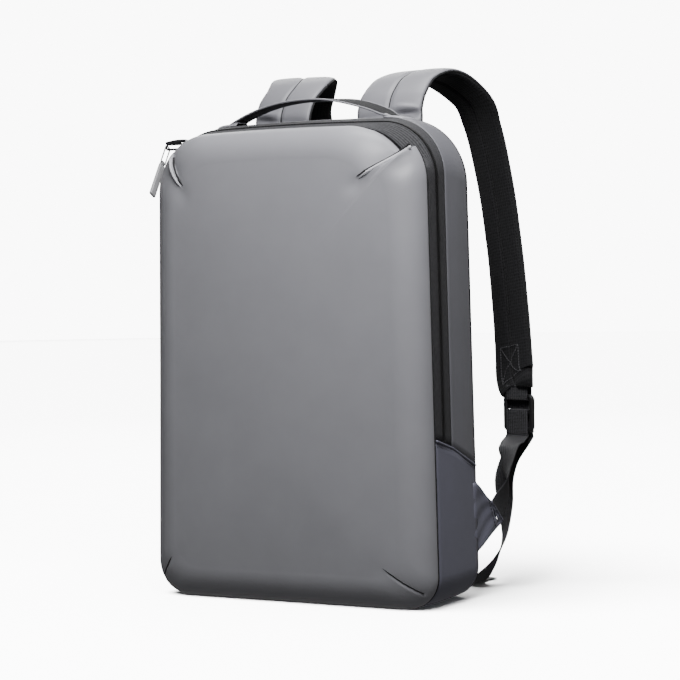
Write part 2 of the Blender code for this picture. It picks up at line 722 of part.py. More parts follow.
def make_buckle(name, side, home, cutters):
    """Ladder-lock frame: a rounded plate with two slots, and a bar between them."""
    mesh = bpy.data.meshes.new(name)
    work = bmesh.new()
    bmesh.ops.create_cube(work, size=1.0)
    bmesh.ops.scale(work, vec=(BUCKLE_WIDTH, BUCKLE_THICK, BUCKLE_HEIGHT), verts=work.verts)
    work.to_mesh(mesh)
    work.free()
    buckle = add_object(name, mesh, "black_plastic", home)
    turn = Matrix.Rotation(math.radians(BUCKLE_YAW * side), 4, "Z")
    centre = buckle_centre()
    centre.x *= side
    buckle.matrix_world = Matrix.Translation(centre) @ turn
    bevel = buckle.modifiers.new("round", "BEVEL")
    bevel.width = BUCKLE_THICK * BUCKLE_ROUND
    bevel.segments = 2
    inner = BUCKLE_HEIGHT - 2 * BUCKLE_BAR - BUCKLE_MID_BAR
    slot_height = inner / 2
    for which, sign in (("upper", 1), ("lower", -1)):
        slot_mesh = bpy.data.meshes.new(name + "_" + which)
        work = bmesh.new()
        bmesh.ops.create_cube(work, size=1.0)
        slot_size = (BUCKLE_WIDTH - 2 * BUCKLE_BAR, BUCKLE_THICK * CUTTER_LENGTH, slot_height)
        bmesh.ops.scale(work, vec=slot_size, verts=work.verts)
        work.to_mesh(slot_mesh)
        work.free()
        slot = add_object(name + "_" + which, slot_mesh, "black_trim", cutters)
        up = sign * (BUCKLE_MID_BAR + slot_height) / 2
        slot.matrix_world = Matrix.Translation(centre) @ turn @ Matrix.Translation((0, 0, up))
        slot.hide_render = True
        slot.display_type = "WIRE"
        cut = buckle.modifiers.new(which, "BOOLEAN")
        cut.operation = "DIFFERENCE"
        cut.object = slot
        cut.solver = "EXACT"


def make_strap_loop(name, side, home):
    """Webbing folded round the buckle's upper bar, both ends held at the strap's lower end."""
    end = strap_rows()[-1]
    centre = buckle_centre()
    bar_up = centre.z + BUCKLE_HEIGHT / 2 - BUCKLE_BAR / 2
    around = BUCKLE_THICK / 2 + BAR_GAP + WEB_THICK / 2
    under = BUCKLE_BAR / 2 + BAR_GAP + WEB_THICK / 2
    yaw = math.radians(BUCKLE_YAW)
    front = np.array([math.sin(yaw), -math.cos(yaw), 0.0])
    base = np.array([centre.x, centre.y, bar_up])
    top = end[2] - GAP - bar_up
    path = [(around, top), (around, 0.0)]
    path += [(f, -up) for f, up in turn_points(around, under, BAR_ANGLES)]
    path += [(-around, 0.0), (-around, top)]
    rows = []
    for forward, up in path:
        place = base + front * forward
        rows.append((place[0], place[1], base[2] + up, BUCKLE_YAW, 0.0))
    width = BUCKLE_WIDTH - 2 * BUCKLE_BAR - 2 * LOOP_SIDE_GAP
    web_ribbon(name, side, rows, "black_webbing", home, width, WEB_THICK)


# Handle


def handle_path():
    """Points (x, z) of the handle's middle line: flat feet on the gusset and one even arch between them."""
    seat = outline(BAND_REAR + HANDLE_BEHIND_BAND)[:, 1].max() - TOP_CROWN
    half = HANDLE_SPAN / 2
    low = seat + HANDLE_THICK / 2 + GAP
    points = []
    for t in np.linspace(-1.0, 1.0, HANDLE_STATIONS):
        points.append((t * half, low + HANDLE_RISE * (1 - abs(t) ** HANDLE_ARCH_POWER)))
    return np.array(points)


def make_handle(home):
    path = handle_path()
    place = BAND_REAR + HANDLE_BEHIND_BAND
    rows = [(x, place, z, 90.0, 0.0) for x, z in path]
    web_ribbon("handle", 1, rows, "black_webbing", home, HANDLE_WIDTH, HANDLE_THICK)
    front = place - HANDLE_WIDTH / 2 - HANDLE_EDGE_RADIUS - GAP
    for name, where in (("handle_edge_front", front), ("handle_edge_rear", 2 * place - front)):
        curve = bpy.data.curves.new(name, "CURVE")
        curve.dimensions = "3D"
        curve.bevel_depth = HANDLE_EDGE_RADIUS
        curve.bevel_resolution = 1
        curve.use_fill_caps = True
        spline = curve.splines.new("POLY")
        spline.points.add(len(path) - 1)
        for point, (x, z) in zip(spline.points, path):
            point.co = (x, where, z, 1.0)
        add_object(name, curve, "coated_grey", home)


# Zip slider and pull


def shoulder_point(angle, place):
    """A point on the bag's left shoulder at an angle from +X, at one place from front to back."""
    places = [row[0] for row in OUTLINES]
    shoulder, top, turn = (np.interp(place, places, [row[i] for row in OUTLINES]) for i in (2, 3, 5))
    radius = turn * BAG_WIDTH
    out = Vector((math.cos(math.radians(angle)), 0.0, math.sin(math.radians(angle))))
    return Vector((-(shoulder * BAG_WIDTH / 2 - radius), place, top * BAG_HEIGHT - radius)) + out * radius


def corner_frame(angle):
    """A place on the coil at the left shoulder, with the run of the zip, the way across it and the way out."""
    spot = shoulder_point(angle, COIL_LINE)
    step = COIL_WIDTH / 2
    across = shoulder_point(angle, COIL_LINE + step) - shoulder_point(angle, COIL_LINE - step)
    across.normalize()
    run = shoulder_point(angle - 1, COIL_LINE) - shoulder_point(angle + 1, COIL_LINE)
    run.normalize()
    out = run.cross(across).normalized()
    return spot, run, out.cross(run), out


def pull_hinge():
    """Axis of the pull's link: along Y, outside the bag's left side and level with the slider."""
    places = [row[0] for row in OUTLINES]
    shoulder = np.interp(COIL_LINE, places, [row[2] for row in OUTLINES])
    spot = shoulder_point(SLIDER_ANGLE, COIL_LINE)
    return Vector((-(shoulder * BAG_WIDTH / 2 + PULL_OUT), COIL_LINE, spot.z + PULL_RISE))


def pull_axes():
    """The pull's own directions: along its hinge, and up its length."""
    lean = math.radians(PULL_LEAN)
    return Vector((0.0, math.cos(lean), -math.sin(lean))), Vector((0.0, math.sin(lean), math.cos(lean)))


def rounded_loop(name, points, radius, finish, home):
    """A closed loop of round wire."""
    curve = bpy.data.curves.new(name, "CURVE")
    curve.dimensions = "3D"
    curve.bevel_depth = radius
    curve.bevel_resolution = 2
    spline = curve.splines.new("POLY")
    spline.points.add(len(points) - 1)
    for point, place in zip(spline.points, points):
        point.co = (*place, 1.0)
    spline.use_cyclic_u = True
    return add_object(name, curve, finish, home)


def rounded_rectangle(centre, first, second, width, height, corner):
    """Points round a rectangle with rounded corners, spanned by two directions."""
    points = []
    for quarter in range(4):
        sign_a = (1, -1, -1, 1)[quarter]
        sign_b = (1, 1, -1, -1)[quarter]
        middle = (sign_a * (width / 2 - corner), sign_b * (height / 2 - corner))
        for angle in np.radians(quarter * 90 + np.array([0, 30, 60, 90])):
            a = middle[0] + corner * math.cos(angle)
            b = middle[1] + corner * math.sin(angle)
            points.append(tuple(centre + first * a + second * b))
    return points


def make_slider(home, cutters):
    """Slider plate on the coil, with a crown loop that the pull's link hangs in."""
    spot, run, side, out = corner_frame(SLIDER_ANGLE)
    mesh = bpy.data.meshes.new("zip_slider")
    work = bmesh.new()
    bmesh.ops.create_cube(work, size=1.0)
    bmesh.ops.scale(work, vec=(SLIDER_LENGTH, SLIDER_WIDTH, SLIDER_THICK), verts=work.verts)
    work.to_mesh(mesh)
    work.free()
    slider = add_object("zip_slider", mesh, "dark_metal", home)
    turn = Matrix((run, side, out)).transposed().to_4x4()
    raise_by = COIL_RISE + GAP + SLIDER_THICK / 2
    slider.matrix_world = Matrix.Translation(spot + out * raise_by) @ turn
    bevel = slider.modifiers.new("round", "BEVEL")
    bevel.width = SLIDER_THICK * SLIDER_ROUND
    bevel.segments = 2

    hinge = pull_hinge()
    root = spot + out * raise_by
    level = Vector((1.0, 0.0, 0.0))
    upright = Vector((0.0, 0.0, 1.0))
    outer_end = hinge.x - LINK_WIRE - GAP - CROWN_WIRE
    inner_end = root.x - SLIDER_LENGTH * CROWN_ROOT
    width = inner_end - outer_end
    height = 2 * (LINK_WIRE + GAP * 2 + CROWN_WIRE)
    centre = Vector(((inner_end + outer_end) / 2, COIL_LINE, hinge.z))
    points = rounded_rectangle(centre, level, upright, width, height, height * CROWN_CORNER)
    crown = rounded_loop("zip_slider_crown", points, CROWN_WIRE, "dark_metal", cutters)
    crown = keep_mesh(crown)
    crown.hide_render = True
    crown.display_type = "WIRE"
    join = slider.modifiers.new("crown", "BOOLEAN")
    join.operation = "UNION"
    join.object = crown
    join.solver = "EXACT"


def make_pull(home, cutters):
    """Wire link hanging from the crown, and the tab hanging from the link. Each has its origin on its own hinge."""
    hinge = pull_hinge()
    side, upright = pull_axes()
    centre = -upright * LINK_LENGTH / 2
    points = rounded_rectangle(centre, side, upright, LINK_WIDTH, LINK_LENGTH, LINK_WIDTH * LINK_CORNER)
    link = rounded_loop("pull_link", points, LINK_WIRE, "dark_metal", home)
    link.location = hinge

    axis = hinge - upright * LINK_LENGTH
    mesh = bpy.data.meshes.new("pull_tab")
    work = bmesh.new()
    bmesh.ops.create_cube(work, size=1.0)
    bmesh.ops.scale(work, vec=(TAB_THICK, TAB_WIDTH, TAB_LENGTH), verts=work.verts)
    below = Vector((0.0, 0.0, -(LINK_WIRE + TAB_DROP + TAB_LENGTH / 2)))
    bmesh.ops.translate(work, vec=below, verts=work.verts)
    work.to_mesh(mesh)
    work.free()
    tab = add_object("pull_tab", mesh, "pull_rubber", home)
    lean = Matrix.Rotation(math.radians(-PULL_LEAN), 4, "X")
    tab.matrix_world = Matrix.Translation(axis) @ lean
    bevel = tab.modifiers.new("round", "BEVEL")
    bevel.width = TAB_THICK * TAB_ROUND
    bevel.segments = 3
    bore = LINK_WIRE + BORE_CLEARANCE
    across = Matrix.Rotation(math.radians(90), 4, "X")
    for name, radius, length, how in (
        ("pull_tab_barrel", BARREL_RADIUS, BARREL_WIDTH, "UNION"),
        ("pull_tab_bore", bore, BARREL_WIDTH * CUTTER_LENGTH, "DIFFERENCE"),
    ):
        round_mesh = bpy.data.meshes.new(name)
        work = bmesh.new()
        bmesh.ops.create_cone(work, cap_ends=True, segments=16, radius1=radius, radius2=radius, depth=length)
        work.to_mesh(round_mesh)
        work.free()
        helper = add_object(name, round_mesh, "dark_metal", cutters)
        helper.matrix_world = Matrix.Translation(axis) @ lean @ across
        helper.hide_render = True
        helper.display_type = "WIRE"
        modifier = tab.modifiers.new(name, "BOOLEAN")
        modifier.operation = how
        modifier.object = helper
        modifier.solver = "EXACT"


def main():
    clear_scene()
    home = new_collection("anti_theft_backpack")
    cutters = new_collection("cutters")
    make_front_panel(home)
    make_seam_piping(home)
    make_zip_band(home)
    make_gusset(home)
    make_base(home)
    make_side_panel("side_panel_right", 1, RIGHT_SIDE, home, cutters)
    make_side_panel("side_panel_left", -1, LEFT_SIDE, home, cutters)
    make_back_panel(home)
    make_handle(home)
    for word, side in (("right", 1), ("left", -1)):
        cover = ("strap_cover_" + word, side, COVER_PROFILE, STRAP_COVER_THICK, 1, "coated_grey")
        pad = ("strap_pad_" + word, side, PAD_PROFILE, STRAP_PAD_THICK, -1, "black_mesh")
        strap_half(*cover, home)
        strap_half(*pad, home)
        make_buckle("buckle_" + word, side, home, cutters)
        make_strap_loop("strap_loop_" + word, side, home)
        make_webbing("webbing_" + word, side, home)
    make_slider(home, cutters)
    make_pull(home, cutters)


main()
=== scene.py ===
import math

import bmesh
import bpy
import numpy as np
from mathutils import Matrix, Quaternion, Vector


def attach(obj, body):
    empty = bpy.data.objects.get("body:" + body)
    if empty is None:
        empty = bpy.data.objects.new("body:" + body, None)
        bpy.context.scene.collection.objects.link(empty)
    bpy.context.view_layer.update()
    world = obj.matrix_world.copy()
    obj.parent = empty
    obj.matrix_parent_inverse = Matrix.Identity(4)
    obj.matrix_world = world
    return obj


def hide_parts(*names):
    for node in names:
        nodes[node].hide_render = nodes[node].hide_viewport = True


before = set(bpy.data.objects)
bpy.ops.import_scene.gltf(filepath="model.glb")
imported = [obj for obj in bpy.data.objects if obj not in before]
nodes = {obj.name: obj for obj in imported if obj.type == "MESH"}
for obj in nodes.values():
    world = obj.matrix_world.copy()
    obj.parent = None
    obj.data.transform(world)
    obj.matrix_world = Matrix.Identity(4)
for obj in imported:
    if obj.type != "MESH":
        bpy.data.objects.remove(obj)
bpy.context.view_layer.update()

# Anti theft backpack: the finish of each surface and the sewn, padded and woven pieces.
# Metres, +Z up, the front faces -Y. Points are worked out as whole arrays.


# camera, at the photograph's side of the bag

camera = {
    "place": (0.9171, -1.6545, 0.2894),
    "aim": (0.0230, 0.0128, 0.2346),
    "roll": -0.83,  # degrees
    "lens": 109.3,  # mm
    "sensor": 36.0,  # mm
}


def addObject(name, data):
    piece = bpy.data.objects.new(name, data)
    bpy.context.scene.collection.objects.link(piece)
    return piece


def addCamera(size):
    data = bpy.data.cameras.new("camera")
    data.lens = size["lens"]
    data.sensor_width = size["sensor"]
    eye = addObject("camera", data)
    ahead = Vector(size["aim"]) - Vector(size["place"])
    roll = Quaternion((0.0, 0.0, 1.0), math.radians(size["roll"]))
    eye.rotation_mode = "QUATERNION"
    eye.rotation_quaternion = ahead.to_track_quat("-Z", "Y") @ roll
    eye.location = size["place"]
    bpy.context.scene.camera = eye


addCamera(camera)
print("camera is set")


# the bag's outline and the surfaces laid along it

bag = {
    "width": 0.289,
    "height": 0.436,
    "frontSeam": -0.033,
    "bandRear": -0.002,
    "backSeam": 0.045,
    "coilLine": -0.0175,
    "coilWidth": 0.006,
    "topCrown": 0.0015,
    "pleatInset": 0.014,  # how far the upper edge steps in at the right dart
    "pleatStart": 0.42,  # where the step in begins, as a share of half the width
    "pleatEnd": 0.86,
    # place, half width at foot and shoulder, top, foot radius, shoulder radius, split
    "outlines": (
        (-0.033, 0.986, 0.945, 0.975, 0.100, 0.176, 0.340),
        (-0.002, 0.993, 0.955, 0.995, 0.100, 0.183, 0.320),
        (0.045, 1.000, 0.955, 1.000, 0.103, 0.215, 0.276),
    ),
    # steps along half the outline
    "steps": {"bottom": 10, "foot": 36, "lower": 16, "upper": 30, "shoulder": 108, "top": 24},
}
bagSteps = bag["steps"]
roundSteps = 2 * sum(bagSteps.values())
baseStep = bagSteps["bottom"]
splitStep = baseStep + bagSteps["foot"] + bagSteps["lower"]
bothSides = ((1, "right"), (-1, "left"))

# Corner folds of the front panel: tip and end (across, up), depth and width in metres, the side of the line
# that is pressed in, and how far the line bends aside.
foldColumns = ("tip", "end", "depth", "width", "side", "bow")
foldTable = {
    "topRight": ((0.0795, 0.3782), (0.1262, 0.4056), 0.0062, 0.0110, 1, 0.0),
    "topLeft": ((-0.1003, 0.3761), (-0.1175, 0.4038), 0.0044, 0.0080, -1, -0.0012),
    "lowRight": ((0.0985, 0.0370), (0.1330, 0.0145), 0.0012, 0.0045, 1, 0.0),
    "lowLeft": ((-0.1170, 0.0370), (-0.1315, 0.0180), 0.0012, 0.0045, -1, 0.0),
}
dartFolds = {word: dict(zip(foldColumns, row)) for word, row in foldTable.items()}


def smoothStep(share):
    # 3 t squared less 2 t cubed, held between 0 and 1
    share = np.clip(share, 0.0, 1.0)
    return share * share * (3 - 2 * share)


def unit(vectors):
    return vectors / np.maximum(np.linalg.norm(vectors, axis=-1, keepdims=True), 1e-12)


def straightRun(start, end, count):
    share = np.linspace(0.0, 1.0, count, endpoint=False)[:, None]
    return np.array(start) + (np.array(end) - np.array(start)) * share


def quarterTurn(middle, radius, start, count):
    angle = start + np.linspace(0.0, math.pi / 2, count, endpoint=False)
    return np.array(middle) + radius * np.stack([np.cos(angle), np.sin(angle)], axis=1)


def bagLine(place, pleat=0.0, soft=0.0):
    # Half the outline is a level base, a quarter circle, a leaning side in two runs, a quarter circle and a
    # crowned top; the left half mirrors it. pleat draws the upper right edge in towards the right fold, and
    # soft is the height over which that starts.
    table = np.array(bag["outlines"])
    foot, shoulder, top, low, high, split = [np.interp(place, table[:, 0], table[:, k]) for k in range(1, 7)]
    foot, shoulder = foot * bag["width"] / 2, shoulder * bag["width"] / 2
    low, high = low * bag["width"], high * bag["width"]
    top, split = top * bag["height"], split * bag["height"]
    lean = (shoulder - foot) / (top - high - low)
    corner = (foot + lean * (split - low), split)
    right = np.concatenate([
        straightRun((0, 0), (foot - low, 0), bagSteps["bottom"]),
        quarterTurn((foot - low, low), low, -math.pi / 2, bagSteps["foot"]),
        straightRun((foot, low), corner, bagSteps["lower"]),
        straightRun(corner, (shoulder, top - high), bagSteps["upper"]),
        quarterTurn((shoulder - high, top - high), high, 0.0, bagSteps["shoulder"]),
        straightRun((shoulder - high, top), (0, top), bagSteps["top"]),
        [(0, top)],
    ])
    flat = np.abs(right[:, 0]) < shoulder - high
    upper = right[:, 1] > top / 2
    right[:, 1] += bag["topCrown"] * np.where(flat & upper, 1 - (right[:, 0] / (shoulder - high)) ** 2, 0.0)
    line = np.concatenate([right, right[-2:0:-1] * np.array([-1.0, 1.0])])
    if pleat:
        half = bag["width"] / 2
        fold = dartFolds["topRight"]
        towards = unit(np.array(fold["tip"]) - np.array(fold["end"]))
        across = smoothStep((line[:, 0] / half - bag["pleatStart"]) / (bag["pleatEnd"] - bag["pleatStart"]))
        height = line[:, 1] - fold["end"][1]
        above = smoothStep(1 + height / soft) if soft else (height > 0)
        inward = unit(np.array([0.0, bag["height"] / 2]) - line)
        inward = unit(inward * (1 - across[:, None]) + towards * across[:, None])
        line = line + inward * (bag["pleatInset"] * pleat * across * above * (line[:, 1] > 0.3))[:, None]
    return line


def inset(line, amount):
    # a closed outline moved along its inward normal
    ahead = np.roll(line, -1, axis=0) - np.roll(line, 1, axis=0)
    return line + unit(np.stack([-ahead[:, 1], ahead[:, 0]], axis=1)) * amount


def atPlace(line, place):
    return np.stack([line[:, 0], np.full(len(line), place), line[:, 1]], axis=1)


def roundFrom(first, last):
    # outline steps from first to last, going round
    return (first + np.arange((last - first) % roundSteps + 1)) % roundSteps


def endMesh(name, mesh, weld=0.0, smooth=True):
    # turns the faces outwards and puts the mesh in the scene; points nearer than weld are joined
    tidy = bmesh.new()
    tidy.from_mesh(mesh)
    if weld:
        bmesh.ops.remove_doubles(tidy, verts=tidy.verts, dist=weld)
    bmesh.ops.recalc_face_normals(tidy, faces=tidy.faces)
    tidy.to_mesh(mesh)
    tidy.free()
    if smooth:
        mesh.shade_smooth()
    return addObject(name, mesh)


def laySurface(name, points, wrapAcross=False, wrapAlong=False, capped=False, weld=0.0):
    # A grid of points in two parameters, along and across, joined by quads. Its UV map is in metres.
    # weld joins points that lie nearer than it, as where a ring closes on itself.
    rows, cols = points.shape[:2]
    along = np.arange(rows if wrapAlong else rows - 1)[:, None]
    across = np.arange(cols if wrapAcross else cols - 1)[None, :]
    nextAlong, nextAcross = (along + 1) % rows, (across + 1) % cols
    here, further = along * cols, nextAlong * cols
    quads = np.stack([here + across, here + nextAcross, further + nextAcross, further + across], axis=-1)
    quads = quads.reshape(-1, 4)
    faces = quads.tolist()
    if capped:
        faces += [list(range(cols))[::-1], list(range((rows - 1) * cols, rows * cols))]
    mesh = bpy.data.meshes.new(name)
    mesh.from_pydata(points.reshape(-1, 3).tolist(), [], faces)
    stepV = np.linalg.norm(np.diff(points, axis=0, append=points[:1]), axis=2).mean(axis=1)
    stepU = np.linalg.norm(np.diff(points, axis=1, append=points[:, :1]), axis=2).mean(axis=0)
    v = np.concatenate([[0], np.cumsum(stepV)])
    u = np.concatenate([[0], np.cumsum(stepU)])
    one = np.zeros_like(along) + np.zeros_like(across)
    u0, u1 = u[across + one], u[across + one + 1]
    v0, v1 = v[along + one], v[along + one + 1]
    corners = np.stack([u0, v0, u1, v0, u1, v1, u0, v1], axis=-1).reshape(-1)
    extra = 2 * (sum(len(face) for face in faces) - 4 * len(quads))
    layer = mesh.uv_layers.new(name="cloth")
    layer.data.foreach_set("uv", np.concatenate([corners, np.zeros(extra)]).astype(np.float32))
    return endMesh(name, mesh, weld)


def faceOutwards(piece, outwards):
    # Turns an open sheet's faces to the side that a direction from its own middle points to.
    mesh = piece.data
    normal = np.zeros(len(mesh.polygons) * 3)
    mesh.polygons.foreach_get("normal", normal)
    middle = np.zeros(len(mesh.polygons) * 3)
    mesh.polygons.foreach_get("center", middle)
    normal, middle = normal.reshape(-1, 3), middle.reshape(-1, 3)
    if np.sum(normal * outwards(middle)) < 0:
        mesh.flip_normals()


def giveWall(piece, thickness, outwards):
    # a real thickness behind the outer face
    faceOutwards(piece, outwards)
    wall = piece.modifiers.new("wall", "SOLIDIFY")
    wall.thickness = thickness
    wall.offset = -1.0


def fromBag(points):
    # away from the middle of the bag
    return points - np.array([0.0, 0.005, 0.21])


def sweep(name, path, radius, sides=8, closed=False):
    # a tube: a circle carried along a path, its frame held near a fixed direction
    path = np.asarray(path, float)
    ahead = np.roll(path, -1, axis=0) - np.roll(path, 1, axis=0) if closed else np.gradient(path, axis=0)
    ahead = unit(ahead)
    guide = np.array([0.013, 0.996, 0.021]) + np.zeros_like(ahead)
    lean = np.abs(np.sum(guide * ahead, axis=1, keepdims=True)) > 0.9
    guide = np.where(lean, np.array([0.0, 0.1, 1.0]), guide)
    side = unit(np.cross(ahead, guide))
    up = np.cross(side, ahead)
    angle = np.arange(sides) * 2 * math.pi / sides
    ring = side[:, None] * np.cos(angle)[None, :, None] + up[:, None] * np.sin(angle)[None, :, None]
    radius = np.broadcast_to(np.asarray(radius, float), (len(path),))
    return laySurface(name, path[:, None] + ring * radius[:, None, None], True, closed, not closed)


def joinPieces(name, parts):
    # several meshes made one piece, each keeping its own slots
    bpy.ops.object.select_all(action="DESELECT")
    for part in parts:
        part.select_set(True)
    bpy.context.view_layer.objects.active = parts[0]
    bpy.ops.object.join()
    parts[0].name = name
    parts[0].data.name = name
    return parts[0]


def lengthAlong(path):
    # the length run at each point of a path
    return np.concatenate([[0], np.cumsum(np.linalg.norm(np.diff(path, axis=0), axis=1))])


def pointsAt(places, run, rows):
    return np.stack([np.interp(places, run, rows[:, k]) for k in range(3)], axis=1)


def sameWay(direction):
    # the same direction at every point
    return lambda points: points * 0 + np.array(direction)


def laySpindles(name, spots, ahead, rings, ends, thick, smooth=True):
    # Small six-sided spindles: at each spot its ring is set at four ends along its direction, and the first
    # and last are closed by two quads each.
    points = (
        spots[:, None, None]
        + ahead[:, None, None] * ends[None, :, None, None]
        + rings[:, None] * thick[None, :, None, None]
    )
    one = np.arange(3)[:, None] * 6
    turn = np.arange(6)[None, :]
    nextTurn = (turn + 1) % 6
    quads = np.stack([one + turn, one + nextTurn, one + 6 + nextTurn, one + 6 + turn], axis=-1).reshape(-1, 4)
    caps = np.array([[0, 1, 2, 3], [0, 3, 4, 5], [21, 20, 19, 18], [23, 22, 21, 18]])
    quads = np.concatenate([quads, caps])
    faces = (np.arange(len(spots))[:, None, None] * 24 + quads[None]).reshape(-1, 4)
    mesh = bpy.data.meshes.new(name)
    mesh.from_pydata(points.reshape(-1, 3).tolist(), [], faces.tolist())
    return endMesh(name, mesh, smooth=smooth)


def stitchRow(name, path, normals, pitch=0.0034, length=0.0025, radius=0.00032):
    # thread: short spindles at an even pitch along a path, lying on the cloth
    path, normals = np.asarray(path, float), np.asarray(normals, float)
    run = lengthAlong(path)
    places = np.arange(pitch / 2, run[-1], pitch)
    nearby = 0.001
    ahead = unit(pointsAt(places + nearby, run, path) - pointsAt(places - nearby, run, path))
    up = unit(pointsAt(places, run, normals))
    side = unit(np.cross(ahead, up))
    angle = np.arange(6)[None, :, None] * math.pi / 3
    rings = side[:, None] * np.cos(angle) + up[:, None] * np.sin(angle)
    ends = np.array([-0.5, -0.3, 0.3, 0.5]) * length
    thick = np.array([0.35, 1.0, 1.0, 0.35]) * radius
    return laySpindles(name, pointsAt(places, run, path), ahead, rings, ends, thick)


# materials

def startMaterial(name, colour, roughness, metallic=0.0):
    material = bpy.data.materials.new(name)
    material.use_nodes = True
    tree = material.node_tree
    shader = tree.nodes["Principled BSDF"]
    shader.inputs["Base Color"].default_value = (*colour, 1.0)
    shader.inputs["Roughness"].default_value = roughness
    shader.inputs["Metallic"].default_value = metallic
    material.diffuse_color = (*colour, 1.0)
    return material, tree, shader


def addNode(tree, kind, **values):
    node = tree.nodes.new(kind)
    for name, value in values.items():
        if name in node.inputs.keys():
            node.inputs[name].default_value = value
        else:
            setattr(node, name, value)
    return node


def coordinates(tree, source, scale):
    # Object coordinates or the cloth's own UV map, both in metres, times a scale for each axis
    where = addNode(tree, "ShaderNodeTexCoord")
    turn = addNode(tree, "ShaderNodeMapping", Scale=scale)
    tree.links.new(where.outputs[source], turn.inputs["Vector"])
    return turn.outputs["Vector"]


def addNoise(tree, vector, scale, detail):
    noise = addNode(tree, "ShaderNodeTexNoise", Scale=scale, Detail=detail)
    tree.links.new(vector, noise.inputs["Vector"])
    return noise


def colourRamp(tree, shader, source, low, high):
    # the colour runs from low to high, each a value of the source with its colour
    ramp = addNode(tree, "ShaderNodeValToRGB")
    for element, (position, colour) in zip(ramp.color_ramp.elements, (low, high)):
        element.position = position
        element.color = (*colour, 1)
    tree.links.new(source, ramp.inputs["Fac"])
    tree.links.new(ramp.outputs["Color"], shader.inputs["Base Color"])


def patchyColour(tree, shader, colour, spread, scale):
    # the colour drifts a little lighter and darker in soft patches
    noise = addNoise(tree, coordinates(tree, "Object", (1, 1, 1)), scale, 4.0)
    noise.inputs["Roughness"].default_value = 0.6
    darker = [c * (1 - spread) for c in colour]
    lighter = [min(1, c * (1 + spread)) for c in colour]
    colourRamp(tree, shader, noise.outputs["Fac"], (0.3, darker), (0.7, lighter))


def roughnessRange(tree, shader, source, low, high):
    spread = addNode(tree, "ShaderNodeMapRange")
    spread.inputs["To Min"].default_value = low
    spread.inputs["To Max"].default_value = high
    tree.links.new(source, spread.inputs["Value"])
    tree.links.new(spread.outputs["Result"], shader.inputs["Roughness"])


def addBump(tree, shader, heights, strength, distance):
    # heights are added up and read as a relief of this depth in metres
    total = heights[0]
    for other in heights[1:]:
        add = addNode(tree, "ShaderNodeMath", operation="ADD")
        tree.links.new(total, add.inputs[0])
        tree.links.new(other, add.inputs[1])
        total = add.outputs[0]
    bump = addNode(tree, "ShaderNodeBump", Strength=strength, Distance=distance)
    tree.links.new(total, bump.inputs["Height"])
    tree.links.new(bump.outputs["Normal"], shader.inputs["Normal"])


def waves(tree, vector, direction, period, profile="SIN"):
    # ridges at a period in metres
    node = addNode(
        tree, "ShaderNodeTexWave", wave_type="BANDS", bands_direction=direction, wave_profile=profile
    )
    node.inputs["Scale"].default_value = math.pi / 10 / period
    node.inputs["Distortion"].default_value = 0.0
    tree.links.new(vector, node.inputs["Vector"])
    return node.outputs["Fac"]


def setSheen(shader, sheen, specular):
    shader.inputs["Sheen Weight"].default_value = sheen
    shader.inputs["Specular IOR Level"].default_value = specular


def coatedCloth(name, colour, roughness, source="Object"):
    # Closely woven cloth with a satin coat: a hair-fine weave, soft patches and a broad faint highlight.
    material, tree, shader = startMaterial(name, colour, roughness)
    patchyColour(tree, shader, colour, 0.035, 24.0)
    vector = coordinates(tree, source, (1, 1, 1))
    fine = addNoise(tree, vector, 1400.0, 2.0)
    wide = addNoise(tree, vector, 70.0, 3.0)
    thread = 0.0009
    weft = waves(tree, vector, "Z", thread)
    warp = waves(tree, vector, "X", thread)
    addBump(tree, shader, [fine.outputs["Fac"], weft, warp], 0.22, 0.00012)
    roughnessRange(tree, shader, wide.outputs["Fac"], roughness - 0.05, roughness + 0.07)
    shader.inputs["Sheen Weight"].default_value = 0.05
    shader.inputs["Sheen Roughness"].default_value = 0.45
    return material


def wovenTape(name, dark, light, period, roughness=0.75):
    # Tape or webbing: ribs along its length crossed by the weft, so the threads show as short lozenges.
    material, tree, shader = startMaterial(name, dark, roughness)
    vector = coordinates(tree, "UV", (1, 1, 1))
    ribs = waves(tree, vector, "X", period)
    weft = waves(tree, vector, "Y", period * 0.62)
    twill = waves(tree, vector, "DIAGONAL", period * 0.8, "SAW")
    blend = addNode(tree, "ShaderNodeMath", operation="MULTIPLY")
    tree.links.new(ribs, blend.inputs[0])
    tree.links.new(weft, blend.inputs[1])
    noise = addNoise(tree, vector, 600.0, 3.0)
    speckle = addNode(tree, "ShaderNodeMath", operation="MULTIPLY_ADD")
    speckle.inputs[1].default_value = 0.8
    tree.links.new(noise.outputs["Fac"], speckle.inputs[0])
    tree.links.new(blend.outputs[0], speckle.inputs[2])
    colourRamp(tree, shader, speckle.outputs[0], (0.30, dark), (1.0, light))
    addBump(tree, shader, [ribs, weft, twill], 0.6, 0.00025)
    setSheen(shader, 0.04, 0.25)
    return material


def spacerMesh(name, colour, cell, source, scale, contrast, fuzz):
    # Knitted spacer mesh: small round holes in even rows, with soft ridges and, if fuzz is set, a fine nap.
    material, tree, shader = startMaterial(name, colour, 0.85)
    vector = coordinates(tree, source, scale)
    holes = addNode(tree, "ShaderNodeTexVoronoi", Scale=1.0 / cell, Randomness=0.18)
    tree.links.new(vector, holes.inputs["Vector"])
    dark, light = [[c * share for c in colour] for share in contrast]
    colourRamp(tree, shader, holes.outputs["Distance"], (0.18, dark), (0.42, light))
    heights = [holes.outputs["Distance"]]
    if fuzz:
        heights.append(addNoise(tree, vector, fuzz, 2.0).outputs["Fac"])
    addBump(tree, shader, heights, 0.7, 0.0006)
    setSheen(shader, 0.03, 0.2)
    return material


